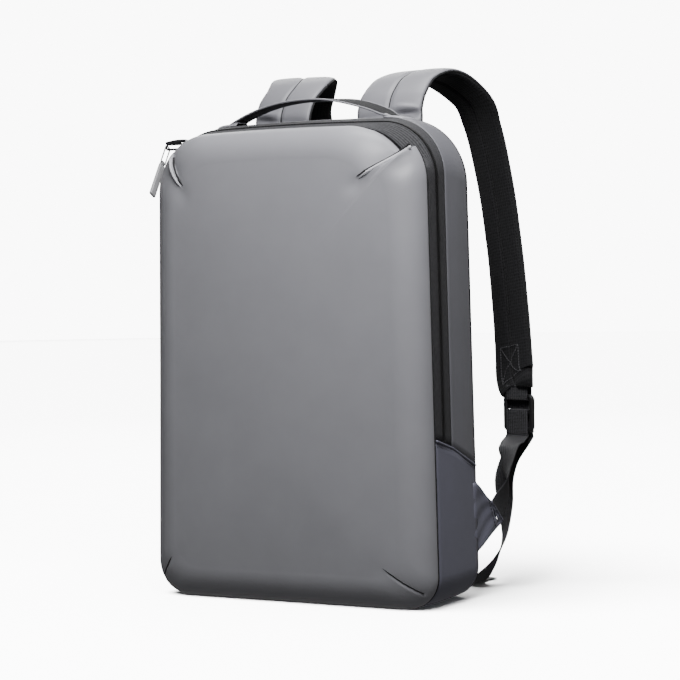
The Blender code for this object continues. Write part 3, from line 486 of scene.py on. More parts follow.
def mouldedPlastic(name, colour, roughness):
    # plastic or rubber with a fine grain
    material, tree, shader = startMaterial(name, colour, roughness)
    grain = addNoise(tree, coordinates(tree, "Object", (1, 1, 1)), 1600.0, 2.0)
    patchyColour(tree, shader, colour, 0.12, 160.0)
    addBump(tree, shader, [grain.outputs["Fac"]], 0.25, 0.0001)
    roughnessRange(tree, shader, grain.outputs["Fac"], roughness - 0.06, roughness + 0.1)
    return material


def platedMetal(name, colour, roughness):
    # plated metal with faint rubbed streaks
    material, tree, shader = startMaterial(name, colour, roughness, 1.0)
    streaks = addNoise(tree, coordinates(tree, "Object", (1, 1, 0.2)), 900.0, 3.0)
    patchyColour(tree, shader, colour, 0.2, 300.0)
    roughnessRange(tree, shader, streaks.outputs["Fac"], roughness - 0.08, roughness + 0.15)
    addBump(tree, shader, [streaks.outputs["Fac"]], 0.1, 0.00005)
    return material


def twistedThread(name, colour):
    # sewing thread with slanting strands
    material, tree, shader = startMaterial(name, colour, 0.7)
    strands = waves(tree, coordinates(tree, "Object", (1, 1, 1)), "DIAGONAL", 0.0005)
    patchyColour(tree, shader, colour, 0.15, 200.0)
    addBump(tree, shader, [strands], 0.4, 0.0001)
    return material


greyCloth = coatedCloth("grey_coated_cloth", (0.240, 0.240, 0.262), 0.44)
sideCloth = coatedCloth("grey_side_cloth", (0.125, 0.125, 0.165), 0.56)
gussetCloth = coatedCloth("grey_gusset_cloth", (0.125, 0.125, 0.142), 0.50)
# a paler copy of the grey coated cloth for the folds' rolled edges: painted highlight
paintedHighlightEdgeCloth = coatedCloth("pale_edge_cloth_painted_highlight", (0.440, 0.440, 0.470), 0.36)
strapCloth = coatedCloth("grey_strap_cloth", (0.170, 0.170, 0.188), 0.48, "UV")
bandTape = wovenTape("zip_band_weave", (0.006, 0.006, 0.007), (0.062, 0.062, 0.068), 0.0016)
blackWeb = wovenTape("black_webbing", (0.008, 0.008, 0.009), (0.055, 0.055, 0.060), 0.0022, 0.7)
handleWeave = wovenTape("handle_weave", (0.003, 0.003, 0.004), (0.018, 0.018, 0.020), 0.0012, 0.85)
# black binding; the same tape also makes the cord in the folds' grooves, which is painted shade
blackTrimAndGrooveShade = wovenTape("black_binding_and_groove_shade", (0.005, 0.005, 0.006), (0.022, 0.022, 0.024), 0.0012, 0.8)
blackMesh = spacerMesh(
    "black_spacer_mesh", (0.008, 0.008, 0.009), 0.0030, "UV", (1, 1, 1), (0.35, 1.35), 900.0
)
# the back's mesh is laid on its upright plane
backMesh = spacerMesh(
    "black_back_mesh", (0.030, 0.030, 0.032), 0.0036, "Object", (1, 0, 1), (0.4, 1.5), 0.0
)
blackPlastic = mouldedPlastic("black_buckle_plastic", (0.012, 0.012, 0.013), 0.38)
coilPlastic = mouldedPlastic("zip_coil_plastic", (0.010, 0.010, 0.011), 0.5)
darkMetal = platedMetal("dark_plated_metal", (0.10, 0.10, 0.11), 0.28)
linkMetal = platedMetal("silver_link_metal", (0.55, 0.55, 0.56), 0.25)
pullRubber = mouldedPlastic("grey_pull_rubber", (0.300, 0.300, 0.310), 0.5)
blackThread = twistedThread("black_thread", (0.010, 0.010, 0.011))
greyThread = twistedThread("grey_thread", (0.110, 0.110, 0.120))
# black thread lifted to dark grey, partly painted highlight on the raised stitches
boxThreadPaintedHighlight = twistedThread("box_thread_painted_highlight", (0.055, 0.055, 0.060))


def finishPiece(piece, material, body="bag", replaced=()):
    piece.data.materials.clear()
    piece.data.materials.append(material)
    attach(piece, body)
    if replaced:
        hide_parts(*replaced)
    return piece


print("materials are ready")


# front panel

frontPanel = {
    "wrapDepth": 0.024,  # how far it stands before its seam
    "wrapWidth": 0.030,  # how far the turn of its edge reaches in
    "crown": 0.004,
    "wall": 0.003,
    "edgeGap": 0.0012,  # from the seam's cord
    "tuck": 0.0016,  # how far its first ring lies in under the cord
    "tuckDepth": 0.0002,
    "fadeReach": 0.004,  # folds and ripples grow to full height over this distance from the edge
    "turnRows": 44,
    "foldRows": 42,
    "foldReach": 0.062,
    "middleRows": 12,
    "weld": 1e-5,
    "rippleHeight": 0.0005,
    # radians per metre across and up, phase, share of the height
    "ripples": ((17, 9, 0.4, 0.35), (-11, 23, 1.9, 0.30), (31, 15, 2.7, 0.12)),
}

# The form of each fold: growth, past and along are in lengths of the fold, share is a share of its depth,
# and the rest is in metres.
foldForm = {
    "growth": 1.8,
    "past": 1.5,
    "stepWidth": 0.0012,
    "roll": {"away": -0.0022, "width": 0.0034, "share": 0.26},
    "dents": (
        {"along": -0.06, "length": 0.011, "away": -0.004, "width": 0.008, "share": 0.34},
        {"along": 0.75, "length": 0.010, "away": -0.014, "width": 0.007, "share": 0.22},
    ),
}

foldEdge = {
    "stations": 40,
    "from": 0.02,  # shares of the fold's length
    "to": 0.99,
    "growth": 4,
    "thinnest": 0.25,
    "blur": 0.0011,
    "leastDepth": 0.002,  # folds shallower than this have no rolled edge
    # offset from the fold's line, radius, lift as a share of the radius
    # roll: rolled edge in a paler cloth, painted highlight; seam: black cord in the groove, painted shade
    "roll": (-0.0011, 0.0014, 0.45),
    "seam": (0.0012, 0.0013, 0.30),
}


def foldPush(points, size):
    # Each corner fold has a sharp step along its line: the cloth on one side is pressed in and rises again by
    # an exponential, and on the other side it stands up in a bell-shaped roll. Each dent is a bell in two
    # directions.
    push = np.zeros(points.shape[:-1])
    for fold in dartFolds.values():
        tip, end = np.array(fold["tip"]), np.array(fold["end"])
        length = np.linalg.norm(end - tip)
        line = (end - tip) / length
        offset = points[..., [0, 2]] - tip
        along = offset @ line / length
        away = offset @ np.array([-line[1], line[0]]) * fold["side"]
        grow = smoothStep(along * size["growth"]) * (along < size["past"])
        pressed = smoothStep(away / size["stepWidth"] + 0.5) * np.exp(-np.maximum(away, 0) / fold["width"])
        roll = size["roll"]
        rolled = np.exp(-(((away - roll["away"]) / roll["width"]) ** 2)) * roll["share"]
        push += fold["depth"] * grow * (pressed - rolled)
        for dent in size["dents"]:
            lengthwise = (along - dent["along"]) * length / dent["length"]
            across = (away - dent["away"]) / dent["width"]
            push += fold["depth"] * dent["share"] * np.exp(-(lengthwise**2) - across**2)
    return push


def softRipples(x, z, size):
    # a few long shallow waves, as cloth over foam has
    waviness = sum(share * np.sin(a * x + b * z + phase) for a, b, phase, share in size["ripples"])
    return waviness * size["rippleHeight"]


def ringAt(skin, reach, place):
    # the outline drawn in towards its middle by a reach
    middle = np.array([0.0, skin[:, 1].max() / 2])
    scale = np.array([1 - reach / (bag["width"] / 2), 1 - reach / (bag["height"] / 2)])
    return atPlace(middle + (skin - middle) * scale, place)


def makeFrontPanel(size):
    # Rings of the outline: a quarter ellipse turns from the seam to the face, which bulges as a parabola.
    skin = bagLine(bag["frontSeam"], pleat=1.0)
    half = bag["width"] / 2
    angle = np.linspace(0.0, math.pi / 2, size["turnRows"])
    reach = size["wrapWidth"] * (1 - np.cos(angle))
    depth = size["wrapDepth"] * np.sin(angle)
    flat = np.concatenate([
        np.linspace(size["wrapWidth"], size["foldReach"], size["foldRows"])[1:],
        np.linspace(size["foldReach"], half, size["middleRows"])[1:],
    ])
    share = (flat - size["wrapWidth"]) / (half - size["wrapWidth"])
    reach = np.concatenate([reach, flat])
    depth = np.concatenate([depth, size["wrapDepth"] + size["crown"] * (1 - (1 - share) ** 2)])
    seam = bag["frontSeam"] - size["edgeGap"]
    # the drawn-in edge gives way to the plain outline towards the middle, where the rings close on one line
    plain = bagLine(bag["frontSeam"])
    blend = smoothStep((reach - size["wrapWidth"]) / (half - size["wrapWidth"]))
    rings = np.array([
        ringAt(skin + (plain - skin) * b, r, seam - d) for b, r, d in zip(blend, reach, depth)
    ])
    fade = smoothStep(reach / size["fadeReach"])[:, None]
    rings[:, :, 1] += foldPush(rings, foldForm) * fade
    rings[:, :, 1] += softRipples(rings[..., 0], rings[..., 2], size) * fade
    rings[0] = ringAt(skin, size["tuck"], seam + size["tuckDepth"])
    panel = laySurface("front_panel_cloth", rings, wrapAcross=True, weld=size["weld"])
    giveWall(panel, size["wall"], fromBag)
    finishPiece(panel, greyCloth, replaced=["front_panel"])
    cloud = rings[4:size["turnRows"] + size["foldRows"]].reshape(-1, 3)
    for word, fold in dartFolds.items():
        makeFoldEdge(word, fold, cloud, foldEdge)


def makeFoldEdge(word, fold, cloud, size):
    # The sewn fold: a rolled edge of cloth along its line, paler than the panel as painted highlight, and a
    # black cord in the groove beside it as painted shade. Both taper to the fold's tip and lie on the panel:
    # their depth is a cubic fitted to the mean of the points nearby.
    tip, end = np.array(fold["tip"]), np.array(fold["end"])
    line = unit(end - tip)
    aside = np.array([-line[1], line[0]]) * fold["side"]
    share = np.linspace(size["from"], size["to"], size["stations"])
    bow = np.sin(share * math.pi) * fold["bow"]
    path = tip + (end - tip) * share[:, None] + aside * bow[:, None]
    taper = smoothStep(share * size["growth"]) * (1 - size["thinnest"]) + size["thinnest"]
    # the roll's paler cloth is painted highlight and the seam's black cord is painted shade in the groove
    for label, material, slot in (("roll", paintedHighlightEdgeCloth, "coated_grey_cloth"), ("seam", blackTrimAndGrooveShade, "piping")):
        if label == "roll" and fold["depth"] < size["leastDepth"]:
            continue
        offset, radius, lift = size[label]
        spots = path + aside * offset
        gap = np.linalg.norm(cloud[None, :, [0, 2]] - spots[:, None], axis=2)
        # the small sum keeps stations with no grid point near them from dividing by nothing
        weight = np.exp(-((gap / size["blur"]) ** 2)) + 1e-9
        depth = (weight * cloud[None, :, 1]).sum(axis=1) / weight.sum(axis=1)
        depth = np.polyval(np.polyfit(share, depth, 3), share)
        # shallow folds are thinner
        thick = radius * taper * min(1.0, 0.30 + fold["depth"] * 120)
        curve = np.stack([spots[:, 0], depth - thick * lift, spots[:, 1]], axis=1)
        edge = sweep("fold_" + label + "_" + word, curve, thick)
        finishPiece(edge, material)


makeFrontPanel(frontPanel)
print("front panel is made")


# zip band, seam cord, gusset, sides and base

band = {
    "tapeWall": 0.0016,
    "coilLift": 0.0007,
    "coilHalf": 0.0012,  # the tapes end this far from the middle of the coil
    "cordRadius": 0.0009,
    "teethPitch": 0.0016,
    "toothLength": 0.0026,
    "toothWidth": 0.0011,
    "gap": 0.0003,
}
overTop = roundFrom(splitStep, -splitStep % roundSteps)


def layBand(name, places, lifts, chosen, pleats=None):
    # outline points at several places from front to back, each lifted off the bag's skin by its own amount
    pleats = np.zeros(len(places)) if pleats is None else pleats
    lines = [
        atPlace(inset(bagLine(p, pleat=f, soft=0.02 if f else 0.0), -lift), p)[chosen]
        for p, lift, f in zip(places, lifts, pleats)
    ]
    points = np.stack(lines, axis=1)
    points[..., 2] = np.maximum(points[..., 2], 0.0)
    return laySurface(name, points)


def edgeRoll(count, depth, share=0.06):
    # 0 over the middle, falling to -depth at both edges, as a sewn edge turns in
    t = np.linspace(0, 1, count)
    near = np.minimum(t, 1 - t) / share
    return -depth * (1 - smoothStep(near))


def makeSeamCord(size):
    line = atPlace(inset(bagLine(bag["frontSeam"], pleat=1.0), 0.0007), bag["frontSeam"])
    cord = sweep("front_seam_cord", line, size["cordRadius"] * 0.95, closed=True)
    finishPiece(cord, blackTrimAndGrooveShade, replaced=["seam_piping"])


def makeZipBand(size):
    # Two tapes that meet under the coil. The front one follows the step in of the front edge and loses it by
    # the coil.
    start = bag["frontSeam"] + size["cordRadius"]
    coilFront = bag["coilLine"] - bag["coilWidth"] / 2
    coilRear = bag["coilLine"] + bag["coilWidth"] / 2
    front = np.linspace(start, bag["coilLine"] - size["coilHalf"], 9)
    rear = np.linspace(bag["coilLine"] + size["coilHalf"], bag["bandRear"] - size["gap"], 7)
    fade = np.clip(1 - (front - bag["frontSeam"]) / (coilFront - bag["frontSeam"]), 0, 1)
    tapes = (("front", front, front > coilFront, fade), ("rear", rear, rear < coilRear, None))
    for word, places, underCoil, pleats in tapes:
        lifts = np.where(underCoil, -0.0001, -0.0002)
        tape = layBand("zip_tape_" + word + "_weave", places, lifts, overTop, pleats)
        giveWall(tape, size["tapeWall"], fromBag)
        finishPiece(tape, bandTape, replaced=["zip_tape_" + word])


def makeZipTeeth(size):
    # coil teeth: small bars set across the zip at an even pitch, every other one a half step aside
    line = bagLine(bag["coilLine"])
    skin = atPlace(line, bag["coilLine"])[overTop]
    out = atPlace(inset(line, -0.001), bag["coilLine"])[overTop] - skin
    run = lengthAlong(skin)
    places = np.arange(size["teethPitch"], run[-1] - size["teethPitch"], size["teethPitch"] / 2)
    up = unit(pointsAt(places, run, out))
    across = np.zeros_like(up) + np.array([0.0, 1.0, 0.0])
    ahead = unit(np.cross(up, across))
    sideways = np.where(np.arange(len(places)) % 2 == 0, 0.5, -0.5) * size["toothLength"] * 0.9
    spots = pointsAt(places, run, skin) + across * sideways[:, None] + up * 0.0002
    angle = np.arange(6)[None, :, None] * math.pi / 3
    rings = (
        ahead[:, None] * np.cos(angle) * size["toothWidth"] * 0.42
        + up[:, None] * np.sin(angle) * size["coilLift"] * 0.9
    )
    ends = np.array([-0.5, -0.38, 0.38, 0.5]) * size["toothLength"]
    thick = np.array([0.45, 1.0, 1.0, 0.45])
    teeth = laySpindles("zip_coil_teeth", spots, across, rings, ends, thick, smooth=False)
    finishPiece(teeth, coilPlastic, replaced=["zip_coil"])


gusset = {"wall": 0.0025, "puff": 0.0008, "edgeDepth": 0.0009, "places": 20, "gap": 0.0002}


def makeGusset(size):
    # it puffs between its seams as a squared sine
    places = np.linspace(bag["bandRear"] + size["gap"], bag["backSeam"], size["places"])
    t = np.linspace(0, 1, len(places))
    lifts = edgeRoll(len(places), size["edgeDepth"], 0.05) + size["puff"] * np.sin(math.pi * t) ** 2
    sheet = layBand("gusset_cloth", places, lifts, overTop)
    giveWall(sheet, size["wall"], fromBag)
    finishPiece(sheet, gussetCloth, replaced=["gusset"])


side = {
    "wall": 0.0025,
    "seamGap": 0.0012,
    "places": 20,
    "basePlaces": 12,
    "puff": 0.0007,
    "edgeDepth": 0.0007,
    "wingLength": 0.045,
    "wingFlare": 8.0,
    "wingWall": 0.0018,
    "wingSag": 0.0018,
    "wingInset": 0.0006,
    "wingWave": 0.0004,
    # height as a share of the bag's, distance behind the back seam as a share of the wing's length
    "wingCorners": ((0.240, 0.0), (0.196, 0.55), (0.150, 1.0), (0.095, 0.0)),
    "slotAt": 0.855,  # the slot's place from root to hem
    "slotHalf": 0.035,
    "slotEnds": 0.08,
    "slotRow": 18,
    "hemRadius": 0.0012,
    "stitchEnds": 0.06,
}


def wingCorners(which, size):
    flare = math.radians(size["wingFlare"])
    table = np.array(size["wingCorners"])
    away = table[:, 1] * size["wingLength"]
    x = which * (bag["width"] / 2 + math.sin(flare) * away)
    return np.stack([x, bag["backSeam"] + math.cos(flare) * away, table[:, 0] * bag["height"]], axis=1)


def acrossWing(which, share, count):
    # a line across the wing, from its upper edge to its lower one, at a share of the way from root to hem
    rootHigh, hemHigh, hemLow, rootLow = wingCorners(which, side)
    start = rootHigh + (hemHigh - rootHigh) * share
    end = rootLow + (hemLow - rootLow) * share
    margin = side["stitchEnds"]
    return np.linspace(start + (end - start) * margin, start + (end - start) * (1 - margin), count)


def layWing(which, word, size):
    # a four-sided sheet with a slot near its hem, sagging a little between its held edges
    rootHigh, hemHigh, hemLow, rootLow = wingCorners(which, size)
    slotStart, slotEnd = size["slotAt"] - size["slotHalf"], size["slotAt"] + size["slotHalf"]
    a = np.concatenate([
        np.linspace(0, slotStart, size["slotRow"]),
        [slotEnd],
        np.linspace(slotEnd, 1.0, 5)[1:],
    ])
    b = np.concatenate([
        [0.0, size["slotEnds"] / 2],
        np.linspace(size["slotEnds"], 1 - size["slotEnds"], 16),
        [1 - size["slotEnds"] / 2, 1.0],
    ])
    high = rootHigh + (hemHigh - rootHigh) * a[:, None]
    low = rootLow + (hemLow - rootLow) * a[:, None]
    grid = high[:, None] + (low - high)[:, None] * b[None, :, None]
    sag = np.sin(math.pi * np.clip(a / 0.8, 0, 1))[:, None] * np.sin(math.pi * b)[None, :]
    grid[..., 0] -= which * (size["wingInset"] + size["wingSag"] * sag)
    grid[..., 0] += which * size["wingWave"] * np.sin(b * 19 + a[:, None] * 7)
    # a first row that runs forward, flush on the panel
    lead = grid[:1] - np.array([which * 0.0004, 0.006, 0.0])
    wing = laySurface("wing_" + word, np.concatenate([lead, grid]))
    tidy = bmesh.new()
    tidy.from_mesh(wing.data)
    tidy.faces.ensure_lookup_table()
    order = np.arange(len(tidy.faces)).reshape(len(a), len(b) - 1)
    inSlot = order[size["slotRow"], 2:-2]
    bmesh.ops.delete(tidy, geom=[tidy.faces[i] for i in inSlot], context="FACES")
    tidy.to_mesh(wing.data)
    tidy.free()
    giveWall(wing, size["wingWall"], sameWay((which, 0.0, 0.0)))
    wing.data.shade_smooth()
    return wing


def makeSide(which, word, size):
    # Lower side panel along the outline, and behind it the wing with its hem and two rows of stitches.
    first, last = (baseStep, splitStep) if which > 0 else (-splitStep % roundSteps, -baseStep % roundSteps)
    places = np.linspace(bag["frontSeam"] + size["seamGap"], bag["backSeam"], size["places"])
    t = np.linspace(0, 1, len(places))
    lifts = edgeRoll(len(places), size["edgeDepth"], 0.03) + size["puff"] * np.sin(math.pi * t) ** 2
    lifts[-1] = 0.0
    panel = layBand("side_cloth_" + word, places, lifts, roundFrom(first, last))
    giveWall(panel, size["wall"], fromBag)
    wing = layWing(which, word, size)
    hemHigh, hemLow = wingCorners(which, size)[1:3]
    hemPath = np.linspace(hemHigh, hemLow, 12) - np.array([which * size["hemRadius"], 0.0, 0.0])
    hem = sweep("wing_hem_" + word, hemPath, size["hemRadius"])
    finishPiece(hem, sideCloth)
    finishPiece(wing, sideCloth)
    finishPiece(panel, sideCloth, replaced=["side_panel_" + word])
    outwards = sameWay((which, 0.0, 0.0))
    for share, label in ((0.70, "a"), (0.96, "b")):
        path = acrossWing(which, share, 14)
        path[:, 0] += which * 0.0003
        row = stitchRow("wing_stitches_" + word + "_" + label, path, outwards(path))
        finishPiece(row, blackThread)


def makeBase(size):
    places = np.linspace(bag["frontSeam"] + size["seamGap"], bag["backSeam"], size["basePlaces"])
    chosen = roundFrom(-baseStep % roundSteps, baseStep)
    sheet = layBand("base_cloth", places, np.zeros(len(places)), chosen)
    giveWall(sheet, size["wall"], fromBag)
    finishPiece(sheet, sideCloth, replaced=["base_panel"])


def makeSideTopSeam(which, word):
    # the turned edge of the side panel, a thin rolled line over the zip's end and the gusset
    places = np.linspace(bag["frontSeam"] + 0.0015, bag["backSeam"], 40)
    step = splitStep if which > 0 else -splitStep % roundSteps
    path = np.array([atPlace(inset(bagLine(p), -0.0003), p)[step] for p in places])
    roll = sweep("side_top_edge_" + word, path, 0.0011)
    finishPiece(roll, sideCloth)
    path[:, 2] -= 0.0035
    path[:, 0] += which * 0.0001
    outwards = sameWay((which, 0.0, 0.0))
    row = stitchRow("side_top_stitches_" + word, path, outwards(path))
    finishPiece(row, greyThread)


makeSeamCord(band)
makeZipBand(band)
makeZipTeeth(band)
makeGusset(gusset)
makeBase(side)
for which, word in bothSides:
    makeSide(which, word, side)
    makeSideTopSeam(which, word)
print("band, gusset, sides and base are made")


# back panel

backPanel = {
    "depth": 0.012,
    "turn": 0.011,
    "crown": 0.002,
    "seat": 0.0028,
    "wall": 0.003,
    "weld": 1e-5,
    "turnRows": 10,
    "flatRows": 69,
    "cushionRise": 0.0045,
    "channelDepth": 0.0012,
    "channelHalf": 0.018,
    "reach": 0.84,  # of the cushions, as a share of half the width
    "low": 0.045,
    "high": 0.395,
    "soft": 0.014,  # width of the cushions' outer slopes
    "breaks": (0.165, 0.285),  # heights of the channels across
    "breakHalf": 0.009,
    "binding": 0.0016,
}


def cushionRise(x, z, size):
    # long cushions with channels between them: a product of soft steps in x and z
    outer = bag["width"] / 2 * size["reach"] - np.abs(x)
    across = smoothStep((np.abs(x) - size["channelHalf"]) / 0.010) * smoothStep(outer / size["soft"])
    up = smoothStep((z - size["low"]) / size["soft"]) * smoothStep((size["high"] - z) / size["soft"])
    breaks = 1 - sum(np.exp(-(((z - height) / size["breakHalf"]) ** 2)) for height in size["breaks"])
    rise = size["cushionRise"] * across * up * np.clip(breaks, 0, 1)
    return rise - size["channelDepth"] * (1 - across) * up


def makeBackPanel(size):
    # Rings as on the front: a quarter ellipse from the seam to the face, with the cushions raised on it.
    skin = inset(bagLine(bag["backSeam"]), gusset["wall"] + 0.0003)
    half = bag["width"] / 2
    angle = np.linspace(0, math.pi / 2, size["turnRows"])
    flat = np.linspace(size["turn"], half, size["flatRows"] + 1)[1:]
    reach = np.concatenate([[0.0], size["turn"] * (1 - np.cos(angle)), flat])
    share = np.clip((reach - size["turn"]) / (half - size["turn"]), 0, 1)
    level = np.full(size["flatRows"], size["depth"])
    rise = np.concatenate([[-size["seat"]], size["depth"] * np.sin(angle), level])
    rise = rise + size["crown"] * (1 - (1 - share) ** 2)
    rings = np.array([ringAt(skin, r, bag["backSeam"] + d) for r, d in zip(reach, rise)])
    fade = smoothStep((reach - 0.012) / 0.01)[:, None]
    rings[:, :, 1] += cushionRise(rings[..., 0], rings[..., 2], size) * fade
    panel = laySurface("back_panel_cushions", rings, wrapAcross=True, weld=size["weld"])
    giveWall(panel, size["wall"], fromBag)
    finishPiece(panel, backMesh, replaced=["back_panel"])
    seam = atPlace(inset(bagLine(bag["backSeam"]), size["binding"]), bag["backSeam"] + size["binding"] / 2)
    cord = sweep("back_seam_binding", seam, size["binding"], closed=True)
    finishPiece(cord, blackTrimAndGrooveShade)


makeBackPanel(backPanel)
print("back panel is made")


# handle

handle = {
    "span": 0.166,
    "rise": 0.0190,
    "archPower": 2.3,
    "stations": 81,
    "twist": 14.0,  # degrees that its right half leans forward
    "width": 0.020,
    "thick": 0.0024,
    "behindBand": 0.013,
    "edgeRadius": 0.0009,
    "patchLength": 0.024,
    "patchWidth": 0.026,
    "patchRise": 0.0016,
    "patchOut": 0.004,  # from the webbing's end to the patch's middle
    "patchWall": 0.0012,
    "patchRound": 0.28,  # how far its corners are drawn in
}


def ribbon(centres, wide, face, width, thick, name, ribs=0):
    # A flat strip with rounded edges carried along a path: across it the section is a superellipse, and its
    # faces are ribbed by a cosine.
    turn = np.linspace(0, 2 * math.pi, 28, endpoint=False)
    atEdge = np.sign(np.cos(turn)) * np.abs(np.cos(turn)) ** 0.18
    a = np.clip(np.where(np.abs(np.sin(turn)) > 0.2, np.cos(turn) / 0.98, atEdge), -1, 1)
    height = np.sign(np.sin(turn)) * np.abs(np.sin(turn)) ** 0.5
    lift = 1 + (0.10 * np.cos(a * math.pi * ribs) if ribs else 0.0)
    points = (
        centres[:, None]
        + wide[:, None] * a[None, :, None] * width / 2
        + face[:, None] * (height * lift)[None, :, None] * thick / 2
    )
    return laySurface(name, points, wrapAcross=True, capped=True)


def makeHandle(size):
    # The arch rises as 1 less the 2.3rd power of the distance from its middle.
    place = bag["bandRear"] + size["behindBand"]
    seat = bagLine(place)[:, 1].max() - bag["topCrown"]
    count = size["stations"]
    t = np.linspace(-1, 1, count)
    x = t * size["span"] / 2
    z = seat + size["thick"] / 2 + band["gap"] + size["rise"] * (1 - np.abs(t) ** size["archPower"])
    centres = np.stack([x, np.full(count, place), z], axis=1)
    ahead = unit(np.gradient(centres, axis=0))
    # the twist grows to the right and eases off before the end
    twist = math.radians(size["twist"]) * smoothStep(t * 1.6) * (1 - 0.7 * smoothStep((t - 0.88) / 0.12))
    wide = np.stack([np.zeros(count), np.cos(twist), np.sin(twist)], axis=1)
    wide = unit(wide - ahead * np.sum(wide * ahead, axis=1, keepdims=True))
    face = np.cross(ahead, wide)
    strip = ribbon(centres, wide, face, size["width"] - 0.0006, size["thick"] * 0.9, "handle_webbing")
    finishPiece(strip, handleWeave, replaced=["handle"])
    for sign, word in ((-1, "front"), (1, "rear")):
        path = centres + wide * sign * (size["width"] / 2 + 0.0003)
        edge = sweep("handle_binding_" + word, path, size["edgeRadius"])
        finishPiece(edge, strapCloth, replaced=["handle_edge_" + word])


def makeHandlePatch(which, word, size):
    # A sewn patch over the handle's end: a rounded rectangle on the gusset that swells over the webbing.
    place = bag["bandRear"] + size["behindBand"]
    u = np.linspace(-1, 1, 29)
    v = np.linspace(-1, 1, 25)
    v, u = np.meshgrid(v, u, indexing="ij")
    squareU = u * np.sqrt(1 - size["patchRound"] * v**2)
    squareV = v * np.sqrt(1 - size["patchRound"] * u**2)
    x = which * (size["span"] / 2 + size["patchOut"] + squareU * size["patchLength"] / 2)
    y = place + squareV * size["patchWidth"] / 2
    line = bagLine(place)
    top = line[line[:, 1] > 0.3]
    order = np.argsort(top[:, 0])
    z = np.interp(x, top[order, 0], top[order, 1])
    rim = smoothStep((1 - np.maximum(np.abs(u), np.abs(v))) * 5)
    over = smoothStep((size["span"] / 2 + 0.002 - np.abs(x)) / 0.010) * smoothStep((1.0 - np.abs(v)) * 4)
    z = z + 0.0002 + size["patchRise"] * rim + size["thick"] * 1.2 * over
    points = np.stack([x, y, z], axis=-1)
    patch = laySurface("handle_patch_" + word, points)
    giveWall(patch, size["patchWall"], sameWay((0.0, 0.0, 1.0)))
    finishPiece(patch, greyCloth)


makeHandle(handle)
for which, word in bothSides:
    makeHandlePatch(which, word, handle)
print("handle is made")


# shoulder straps

strap = {
    "width": 0.0635,
    "coverThick": 0.0045,
    "padThick": 0.0055,
    "reach": 0.1787,
    "out": 0.140,
    "top": 0.483,
    # out, back and up as shares, yaw of the width in degrees, width as a share; root to lower end
    "sections": (
        (0.407, 0.292, 0.8800, 8.0, 1.00),
        (0.407, 0.299, 0.9065, 7.0, 1.00),
        (0.404, 0.308, 0.9260, 6.0, 1.00),
        (0.404, 0.358, 0.9540, 4.0, 1.00),
        (0.407, 0.481, 0.9850, -1.0, 1.00),
        (0.468, 0.627, 1.0000, -10.0, 1.00),
        (0.561, 0.757, 0.9900, -20.0, 0.97),
        (0.666, 0.880, 0.9520, -26.0, 0.90),
        (0.692, 0.956, 0.9060, -27.0, 0.85),
        (0.730, 0.986, 0.8480, -27.0, 0.82),
        (0.784, 1.000, 0.7530, -27.0, 0.80),
        (0.836, 0.988, 0.6530, -26.5, 0.78),
        (0.886, 0.957, 0.5540, -26.0, 0.78),
        (0.929, 0.921, 0.4560, -25.0, 0.78),
        (0.952, 0.894, 0.4080, -24.5, 0.77),
        (1.000, 0.855, 0.3850, -24.0, 0.58),
    ),
    "perRow": 14,
    "crownPower": 3.2,
    "edgeShare": 0.14,
    "coverSeam": 0.34,  # depth of the middle groove as a share of the thickness
    "padSeam": 0.30,
    "grooveHalf": 0.0022,
    "middleGap": 0.00015,
    # the pulled fold above the root: how far along the strap, share of its depth
    "pulls": ((0.0155, 1.0), (0.0215, -0.5)),
    "pullDepth": 0.0042,
    "pullHalf": 0.0030,
    "binding": 0.0011,
    "stitchAside": 0.0026,
    "boxHalf": 0.0125,
    "boxHigh": 0.042,
    "boxLow": 0.010,
}


def smoothRows(rows, perRow):
    # Catmull-Rom: each stretch is a cubic through its two rows that leaves along the line of its neighbours.
    rows = np.array(rows, float)
    padded = np.concatenate([[2 * rows[0] - rows[1]], rows, [2 * rows[-1] - rows[-2]]])
    p0, p1, p2, p3 = (padded[k : len(padded) - 3 + k, None] for k in range(4))
    t = np.linspace(0, 1, perRow, endpoint=False)[None, :, None]
    square, cube = 2 * p0 - 5 * p1 + 4 * p2 - p3, 3 * p1 - 3 * p2 + p3 - p0
    curve = 2 * p1 + (p2 - p0) * t + square * t**2 + cube * t**3
    return np.concatenate([curve.reshape(-1, rows.shape[1]) / 2, rows[-1:]])


def widthAxes(yaws, dips):
    yaws, dips = np.radians(yaws), np.radians(dips)
    return np.stack([np.cos(yaws) * np.cos(dips), np.sin(yaws) * np.cos(dips), -np.sin(dips)], axis=1)


def ribbonFrames(centres, yaws, dips, levelEnds=False):
    ahead = np.gradient(centres, axis=0)
    if levelEnds:
        ahead[0], ahead[-1] = (0, 0, 1), (0, 0, -1)
    ahead = unit(ahead)
    wide = widthAxes(yaws, dips)
    wide = unit(wide - ahead * np.sum(wide * ahead, axis=1, keepdims=True))
    return wide, np.cross(wide, ahead)


def strapFrames(which, size):
    rows = smoothRows(size["sections"], size["perRow"])
    centres = rows[:, :3] * np.array([size["out"], size["reach"], size["top"]])
    wide, face = ribbonFrames(centres, rows[:, 3], np.zeros(len(rows)), True)
    flip = np.array([which, 1.0, 1.0])
    half = rows[:, 4] * size["width"] / 2
    return centres * flip, wide * flip, face * flip, half, lengthAlong(centres)


def crownedHeight(a, seam, size):
    # a superellipse standing on a low edge, less a bell-shaped groove in the middle; a runs from -1 to 1
    dome = np.sqrt(np.clip(1 - np.abs(a) ** size["crownPower"], 0, 1)) * (1 - size["edgeShare"])
    crown = dome + size["edgeShare"] * (np.abs(a) < 1)
    return crown - seam * np.exp(-((a * size["width"] / 2 / size["grooveHalf"]) ** 2))


